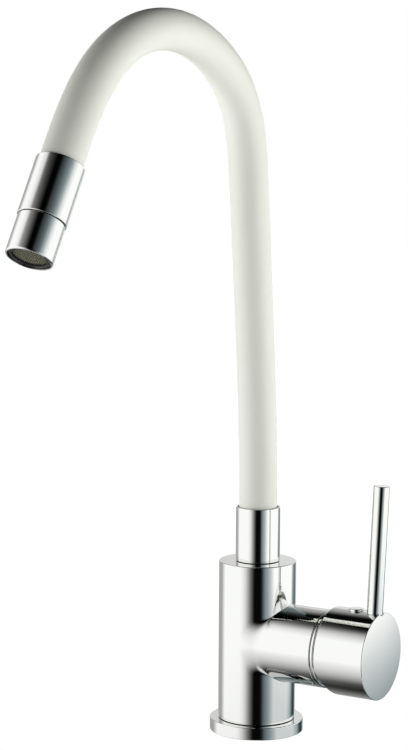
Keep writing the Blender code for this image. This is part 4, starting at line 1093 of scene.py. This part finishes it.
class MIXER_OT_aerator(bpy.types.Operator):
    """Black aerator housing with its woven screen"""
    bl_idname = "mixer.aerator"
    bl_label = "Aerator"

    def execute(self, context):
        sizes, colours = context.scene.mixer_spout, context.scene.mixer_colours
        lay = head_lay(sizes)
        mouth = sizes.nozzle_end - SHELL_SINK
        back = mouth - SHELL_LENGTH
        show_turned("aerator_shell",
                    [(SHELL_BORE, back), (SHELL_RADIUS, back), (SHELL_RADIUS, mouth, TUBE_EDGE),
                     (SHELL_MOUTH, mouth, TUBE_EDGE), (SHELL_MOUTH, mouth - LIP_FRONT),
                     (LIP_BORE, mouth - LIP_FRONT), (LIP_BORE, mouth - LIP_BACK),
                     (SHELL_BORE, mouth - LIP_BACK)],
                    lay, black_plastic(colours), "dark_plastic", "nozzle", "aerator_housing",
                    sides=SMALL_SIDES)
        show("aerator_screen", screen_mesh(sizes, lay, mouth - SCREEN_SINK),
             woven_steel(colours), "steel", "nozzle", "aerator_mesh")
        return {"FINISHED"}


INNER_FINISHES = (
    (turned_brass, ("spout_spigot", "head_fitting", "retaining_nut", "stem")),
    (drawn_steel, ("pivot_pin",) + tuple(f"hose_core_{number}" for number in range(1, 8))),
    (tube_plastic, tuple(f"water_tube_{number}" for number in range(1, 8))),
    (seal_rubber, ("base_gasket", "port_seal", "spout_o_ring_lower", "spout_o_ring_upper",
                   "nozzle_seal")),
    (black_plastic, ("cartridge_base", "disc_driver")),
    (pale_plastic, ("cartridge_housing", "stem_carrier")),
    (screen_shade, ("aerator_insert",)),
    (sintered_ceramic, ("fixed_disc", "moving_disc")),
)


class MIXER_OT_inner_pieces(bpy.types.Operator):
    """Finishes of the pieces that stay as the solid model has them"""
    bl_idname = "mixer.inner_pieces"
    bl_label = "Inner pieces"

    def execute(self, context):
        for make, names in INNER_FINISHES:
            material = make(context.scene.mixer_colours)
            for name in names:
                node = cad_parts[name]
                for slot in node.material_slots:
                    slot.material = material
        return {"FINISHED"}


# Studio

# Tones of the silks and flags round the set, from 0 to 1, that the chrome reflects. The horizon's
# stops are degrees from the camera's direction, to its right. The others are degrees of height:
# how the tone falls off above and below on the left and on the right, and the glow behind. The
# first levels along the horizon were worked out from how light the photograph's barrel and collar
# are where they reflect each direction. They and the others were then set until the
# renders agreed with the photograph.
HORIZON = ((-180, 0.63), (-137, 0.63), (-116, 0.97), (-54, 0.97), (-45, 0.92), (-35, 0.81),
           (-26, 0.60), (-18, 0.38), (-13, 0.24), (-7, 0.03), (11, 0.03), (16, 0.18),
           (22, 0.43), (28, 0.55), (37, 0.67), (47, 0.84), (55, 0.98), (106, 0.98),
           (118, 0.88), (121, 0.82), (123, 0.78), (132, 0.42), (140, 0.28), (148, 0.34),
           (156, 0.66), (166, 0.80), (174, 0.68), (180, 0.63))
LEFT_FALL = ((-72, 0.15), (-66, 0.34), (-62, 0.50), (-56, 0.66), (-48, 0.78), (-40, 0.86),
             (-30, 0.93), (-20, 1), (38, 1), (45, 0.92), (49, 0.84), (53, 0.70), (57, 0.52),
             (61, 0.26), (64, 0.05))
RIGHT_FALL = ((-72, 0.15), (-56, 0.50), (-40, 0.68), (-22, 0.83), (-17, 1), (10, 1), (18, 0.86),
              (24, 0.66), (30, 0.50), (42, 0.44), (47, 0.30), (58, 0.03))
REAR_GLOW = ((-6, 0), (3, 0.16), (10, 0.16), (18, 0))
# Where the set changes, in degrees: the start and span of a change, and of the change back.
# REAR has the glow low behind the mixer, FAR the sloping tone at the back right, and COOL the
# bluish daylight on the right. The left silk hangs lower behind the mixer and in front of it.
REAR, BEHIND, FRONT = (140, 30), (120, 40), (-80, 25)
FAR, RIGHT, COOL = (100, 14, 140, 14), (-10, 30, 120, 30), (-5, 20, 150, 20)
FAR_SLOPE, FAR_LEVEL, FAR_LIMITS = 0.035, -20, (-3, 14)
BEHIND_DROP, FRONT_DROP = 16, 8
BRIGHTEST = 0.98
COOL_RED, COOL_BLUE = 0.045, 0.018
# Silk low in front, which only the undersides reflect, and a strip of light overhead
LOW_SILK, LOW_SILK_SIDES, LOW_SILK_TONE = (38, 16), (34, 12), 0.80
STRIP_RISE, STRIP_PLACE, STRIP_HALF, STRIP_TONE = 0.6, 0.25, 0.055, 0.92
SET_MIDDLE = -0.09
TENT_CENTRE = (0, SET_MIDDLE, 0.20)
TENT_RADIUS = 1.4
TENT_STEP = 2


def between(stops, value):
    return float(np.interp(value, *zip(*stops)))


def change(value, start, span, back=None, back_span=1):
    """Goes from 0 to 1 over a span, and back to 0 over another."""
    level = float(smooth((value - start) / span))
    return level if back is None else level * (1 - float(smooth((value - back) / back_span)))


def tone(azimuth, elevation):
    """sRGB tone of the studio in a direction: silks at both sides, a flag in front, dark roof."""
    off = abs(azimuth)
    level = between(HORIZON, azimuth) + change(off, *REAR) * between(REAR_GLOW, elevation)
    lift = float(np.clip(elevation - FAR_LEVEL, *FAR_LIMITS))
    level = min(level + change(azimuth, *FAR) * FAR_SLOPE * lift, BRIGHTEST)
    right = change(azimuth, *RIGHT)
    drop = max(BEHIND_DROP * change(off, *BEHIND), FRONT_DROP * change(azimuth, *FRONT))
    level *= (between(RIGHT_FALL, elevation) * right
              + between(LEFT_FALL, elevation + drop * (elevation > 0)) * (1 - right))
    under = change(-elevation, *LOW_SILK) * (1 - change(off, *LOW_SILK_SIDES))
    level = max(level, LOW_SILK_TONE * under)
    cool = change(azimuth, *COOL) * (1 - abs(2 * min(max(level, 0), 1) - 1))
    return (max(level - COOL_RED * cool, 0), max(level, 0), max(level + COOL_BLUE * cool, 0))


def tent_mesh():
    """Ball round the mixer whose points hold the light that the chrome reflects."""
    bm = bmesh.new()
    centre = Vector(TENT_CENTRE)
    rows, shades = [], []
    for up in range(-90, 91, TENT_STEP):
        rows.append([])
        for azimuth in range(-180, 181, TENT_STEP):
            turn, lift = math.radians(azimuth) + CAMERA_AZIMUTH, math.radians(up)
            way = Vector((math.sin(turn) * math.cos(lift), -math.cos(turn) * math.cos(lift),
                          math.sin(lift)))
            rows[-1].append(centre + way * TENT_RADIUS)
            strip = (way.z > STRIP_RISE and way.x < 0
                     and abs(way.y / way.z - STRIP_PLACE) < STRIP_HALF)
            shades.append((STRIP_TONE,) * 3 if strip else tone(azimuth, up))
    add_grid(bm, rows)
    mesh = bpy.data.meshes.new("reflected_studio")
    bm.to_mesh(mesh)
    bm.free()
    light = mesh.color_attributes.new("light", "FLOAT_COLOR", "POINT")
    values = np.hstack((to_linear(shades), np.ones((len(shades), 1))))
    light.data.foreach_set("color", values.ravel())
    return mesh


def add_stage(name, mesh, material):
    piece = bpy.data.objects.new(name, mesh)
    bpy.context.scene.collection.objects.link(piece)
    mesh.materials.append(material)
    return piece


def shown_rays(tree):
    """1 for camera, glossy and transmission rays, which show the backdrop."""
    rays = add_node(tree, "ShaderNodeLightPath").outputs
    seen = add_node(tree, "ShaderNodeMath", {0: rays["Is Camera Ray"], 1: rays["Is Glossy Ray"]},
                    operation="MAXIMUM").outputs[0]
    return add_node(tree, "ShaderNodeMath", {0: seen, 1: rays["Is Transmission Ray"]},
                    operation="MAXIMUM").outputs[0]


# The floor's light on the mixer, how bright it looks near it and far off, and the distances
# between which it changes
FLOOR_GLOW = 0.54
FLOOR_SEEN, FLOOR_FAR = 0.88, 1.05
FLOOR_NEAR_END, FLOOR_FAR_START = 0.4, 1.6
FLOOR_PAINT = 0.50
FLOOR_RADIUS = 6.0
# The world's light at the horizon, and the heights between which it fades
WORLD_LEVEL = 0.46
WORLD_FADE, WORLD_DARK = 0.15, 0.55
TENT_STRENGTH = 1.25
SIDE_POWER = 14.8
END_POWER = 4.4
LAMPS = (("left_bank", -95, SIDE_POWER), ("right_bank", 95, SIDE_POWER),
         ("front_bank", 0, END_POWER), ("rear_bank", 180, END_POWER))
LAMP_SIZE = (1.0, 0.6)
LAMP_DISTANCE, LAMP_HEIGHT = 1.3, 0.12
LAMP_TARGET = (0, SET_MIDDLE, 0.25)


class MIXER_OT_studio(bpy.types.Operator):
    """Backlit sweep, soft side lamps, and the tent that the chrome reflects"""
    bl_idname = "mixer.studio"
    bl_label = "Studio"

    def execute(self, context):
        colours = context.scene.mixer_colours
        self.sweep(colours)
        self.tent()
        self.lamps()
        self.backdrop(context.scene)
        return {"FINISHED"}

    def sweep(self, colours):
        # Opal acrylic sheet lit from below: an even white glow that still takes a soft shadow.
        # It looks whiter far off, so that no horizon shows against the backdrop.
        material = bpy.data.materials.new("Backlit opal acrylic")
        tree = emptied(material)
        paint = tuple(FLOOR_PAINT * value for value in colours.floor)
        paper = add_node(tree, "ShaderNodeBsdfDiffuse", {"Color": (*paint, 1)})
        place = add_node(tree, "ShaderNodeTexCoord").outputs["Object"]
        away = add_node(tree, "ShaderNodeVectorMath", {0: place},
                        operation="LENGTH").outputs["Value"]
        seen = add_node(tree, "ShaderNodeMapRange",
                        {"Value": away, "From Min": FLOOR_NEAR_END,
                         "From Max": FLOOR_FAR_START, "To Min": FLOOR_SEEN,
                         "To Max": FLOOR_FAR}).outputs["Result"]
        level = add_node(tree, "ShaderNodeMix", {0: shown_rays(tree), 2: FLOOR_GLOW, 3: seen},
                         data_type="FLOAT").outputs[0]
        glow = add_node(tree, "ShaderNodeEmission",
                        {"Color": (*colours.floor, 1), "Strength": level})
        both = add_node(tree, "ShaderNodeAddShader", {0: paper.outputs[0], 1: glow.outputs[0]})
        add_node(tree, "ShaderNodeOutputMaterial", {"Surface": both.outputs[0]})
        material.cycles.emission_sampling = "NONE"
        bm = bmesh.new()
        bmesh.ops.create_circle(bm, cap_ends=True, segments=64, radius=FLOOR_RADIUS)
        mesh = bpy.data.meshes.new("sweep")
        bm.to_mesh(mesh)
        bm.free()
        add_stage("sweep", mesh, material).visible_glossy = False

    def tent(self):
        material = bpy.data.materials.new("Silk and flags round the set")
        tree = emptied(material)
        light = add_node(tree, "ShaderNodeAttribute", attribute_name="light")
        glow = add_node(tree, "ShaderNodeEmission", {"Color": light.outputs["Color"],
                                                     "Strength": TENT_STRENGTH})
        add_node(tree, "ShaderNodeOutputMaterial", {"Surface": glow.outputs[0]})
        material.cycles.emission_sampling = "NONE"
        ball = add_stage("reflected_studio", tent_mesh(), material)
        ball.visible_camera = False
        ball.visible_diffuse = False
        ball.visible_shadow = False
        ball.visible_transmission = False

    def lamps(self):
        for name, side, power in LAMPS:
            lamp = bpy.data.lights.new(name, "AREA")
            lamp.shape = "RECTANGLE"
            lamp.size, lamp.size_y = LAMP_SIZE
            lamp.energy = power
            turn = math.radians(side) + CAMERA_AZIMUTH
            piece = bpy.data.objects.new(name, lamp)
            bpy.context.scene.collection.objects.link(piece)
            piece.location = (LAMP_DISTANCE * math.sin(turn),
                              SET_MIDDLE - LAMP_DISTANCE * math.cos(turn), LAMP_HEIGHT)
            aim = Vector(LAMP_TARGET) - piece.location
            piece.rotation_euler = aim.to_track_quat("-Z", "Y").to_euler()
            piece.visible_glossy = False

    def backdrop(self, scene):
        world = bpy.data.worlds.new("White backdrop")
        scene.world = world
        tree = emptied(world)
        way = add_node(tree, "ShaderNodeTexCoord").outputs["Generated"]
        height = add_node(tree, "ShaderNodeSeparateXYZ", {"Vector": way}).outputs["Z"]
        level = add_node(tree, "ShaderNodeMapRange",
                         {"Value": height, "From Min": WORLD_FADE, "From Max": WORLD_DARK,
                          "To Min": WORLD_LEVEL, "To Max": 0.0}).outputs["Result"]
        soft = add_node(tree, "ShaderNodeBackground", {"Color": (1, 1, 1, 1), "Strength": level})
        white = add_node(tree, "ShaderNodeBackground", {"Color": (1, 1, 1, 1), "Strength": 1.0})
        mix = add_node(tree, "ShaderNodeMixShader", {0: shown_rays(tree), 1: soft.outputs[0],
                                                     2: white.outputs[0]})
        add_node(tree, "ShaderNodeOutputWorld", {"Surface": mix.outputs[0]})


class MIXER_OT_camera(bpy.types.Operator):
    """Camera at the photograph's place"""
    bl_idname = "mixer.camera"
    bl_label = "Camera"

    def execute(self, context):
        forward = Vector((-math.sin(CAMERA_YAW) * math.cos(CAMERA_PITCH),
                          math.cos(CAMERA_YAW) * math.cos(CAMERA_PITCH),
                          -math.sin(CAMERA_PITCH)))
        right = forward.cross(Vector((0, 0, 1))).normalized()
        up = right.cross(forward)
        level, lift = math.cos(CAMERA_ROLL), math.sin(CAMERA_ROLL)
        place = Matrix((level * right + lift * up, level * up - lift * right,
                        -forward)).transposed().to_4x4()
        place.translation = Vector((0, -CAMERA_DISTANCE, CAMERA_HEIGHT))
        lens = bpy.data.cameras.new("photograph")
        lens.sensor_width = SENSOR
        lens.lens = FOCAL_PIXELS * SENSOR / max(PHOTO_WIDTH, PHOTO_HEIGHT)
        lens.clip_start = 0.01
        camera = bpy.data.objects.new("photograph", lens)
        context.scene.collection.objects.link(camera)
        camera.matrix_world = Matrix.Rotation(CAMERA_AZIMUTH, 4, "Z") @ place
        context.scene.camera = camera
        context.scene.view_settings.view_transform = "Standard"
        return {"FINISHED"}


STEPS = (MIXER_OT_camera, MIXER_OT_cast_body, MIXER_OT_base_ring, MIXER_OT_branch_ring,
         MIXER_OT_handle_cap, MIXER_OT_lever, MIXER_OT_screw_cover, MIXER_OT_grub_screws,
         MIXER_OT_collar, MIXER_OT_hose, MIXER_OT_spray_head, MIXER_OT_aerator,
         MIXER_OT_inner_pieces, MIXER_OT_studio)


class MIXER_PT_pieces(bpy.types.Panel):
    """The mixer's pieces, in the order in which they are made"""
    bl_idname = "MIXER_PT_pieces"
    bl_label = "Mixer"
    bl_space_type = "VIEW_3D"
    bl_region_type = "UI"
    bl_category = "Mixer"

    def draw(self, context):
        for step in STEPS:
            self.layout.operator(step.bl_idname, text=step.bl_label)
        for group in (context.scene.mixer_body, context.scene.mixer_handle,
                      context.scene.mixer_spout, context.scene.mixer_colours):
            box = self.layout.box()
            for name in group.__annotations__:
                box.prop(group, name)


GROUPS = (("mixer_body", BodySizes), ("mixer_handle", HandleSizes), ("mixer_spout", SpoutSizes),
          ("mixer_colours", FinishColours))


def register():
    for name, group in GROUPS:
        bpy.utils.register_class(group)
        setattr(bpy.types.Scene, name, PointerProperty(type=group))
    for item in STEPS + (MIXER_PT_pieces,):
        bpy.utils.register_class(item)


def unregister():
    for item in reversed(STEPS + (MIXER_PT_pieces,)):
        bpy.utils.unregister_class(item)
    for name, group in reversed(GROUPS):
        delattr(bpy.types.Scene, name)
        bpy.utils.unregister_class(group)


def main():
    register()
    for step in STEPS:
        getattr(bpy.ops.mixer, step.bl_idname.split(".")[1])()


if __name__ == "__main__":
    main()
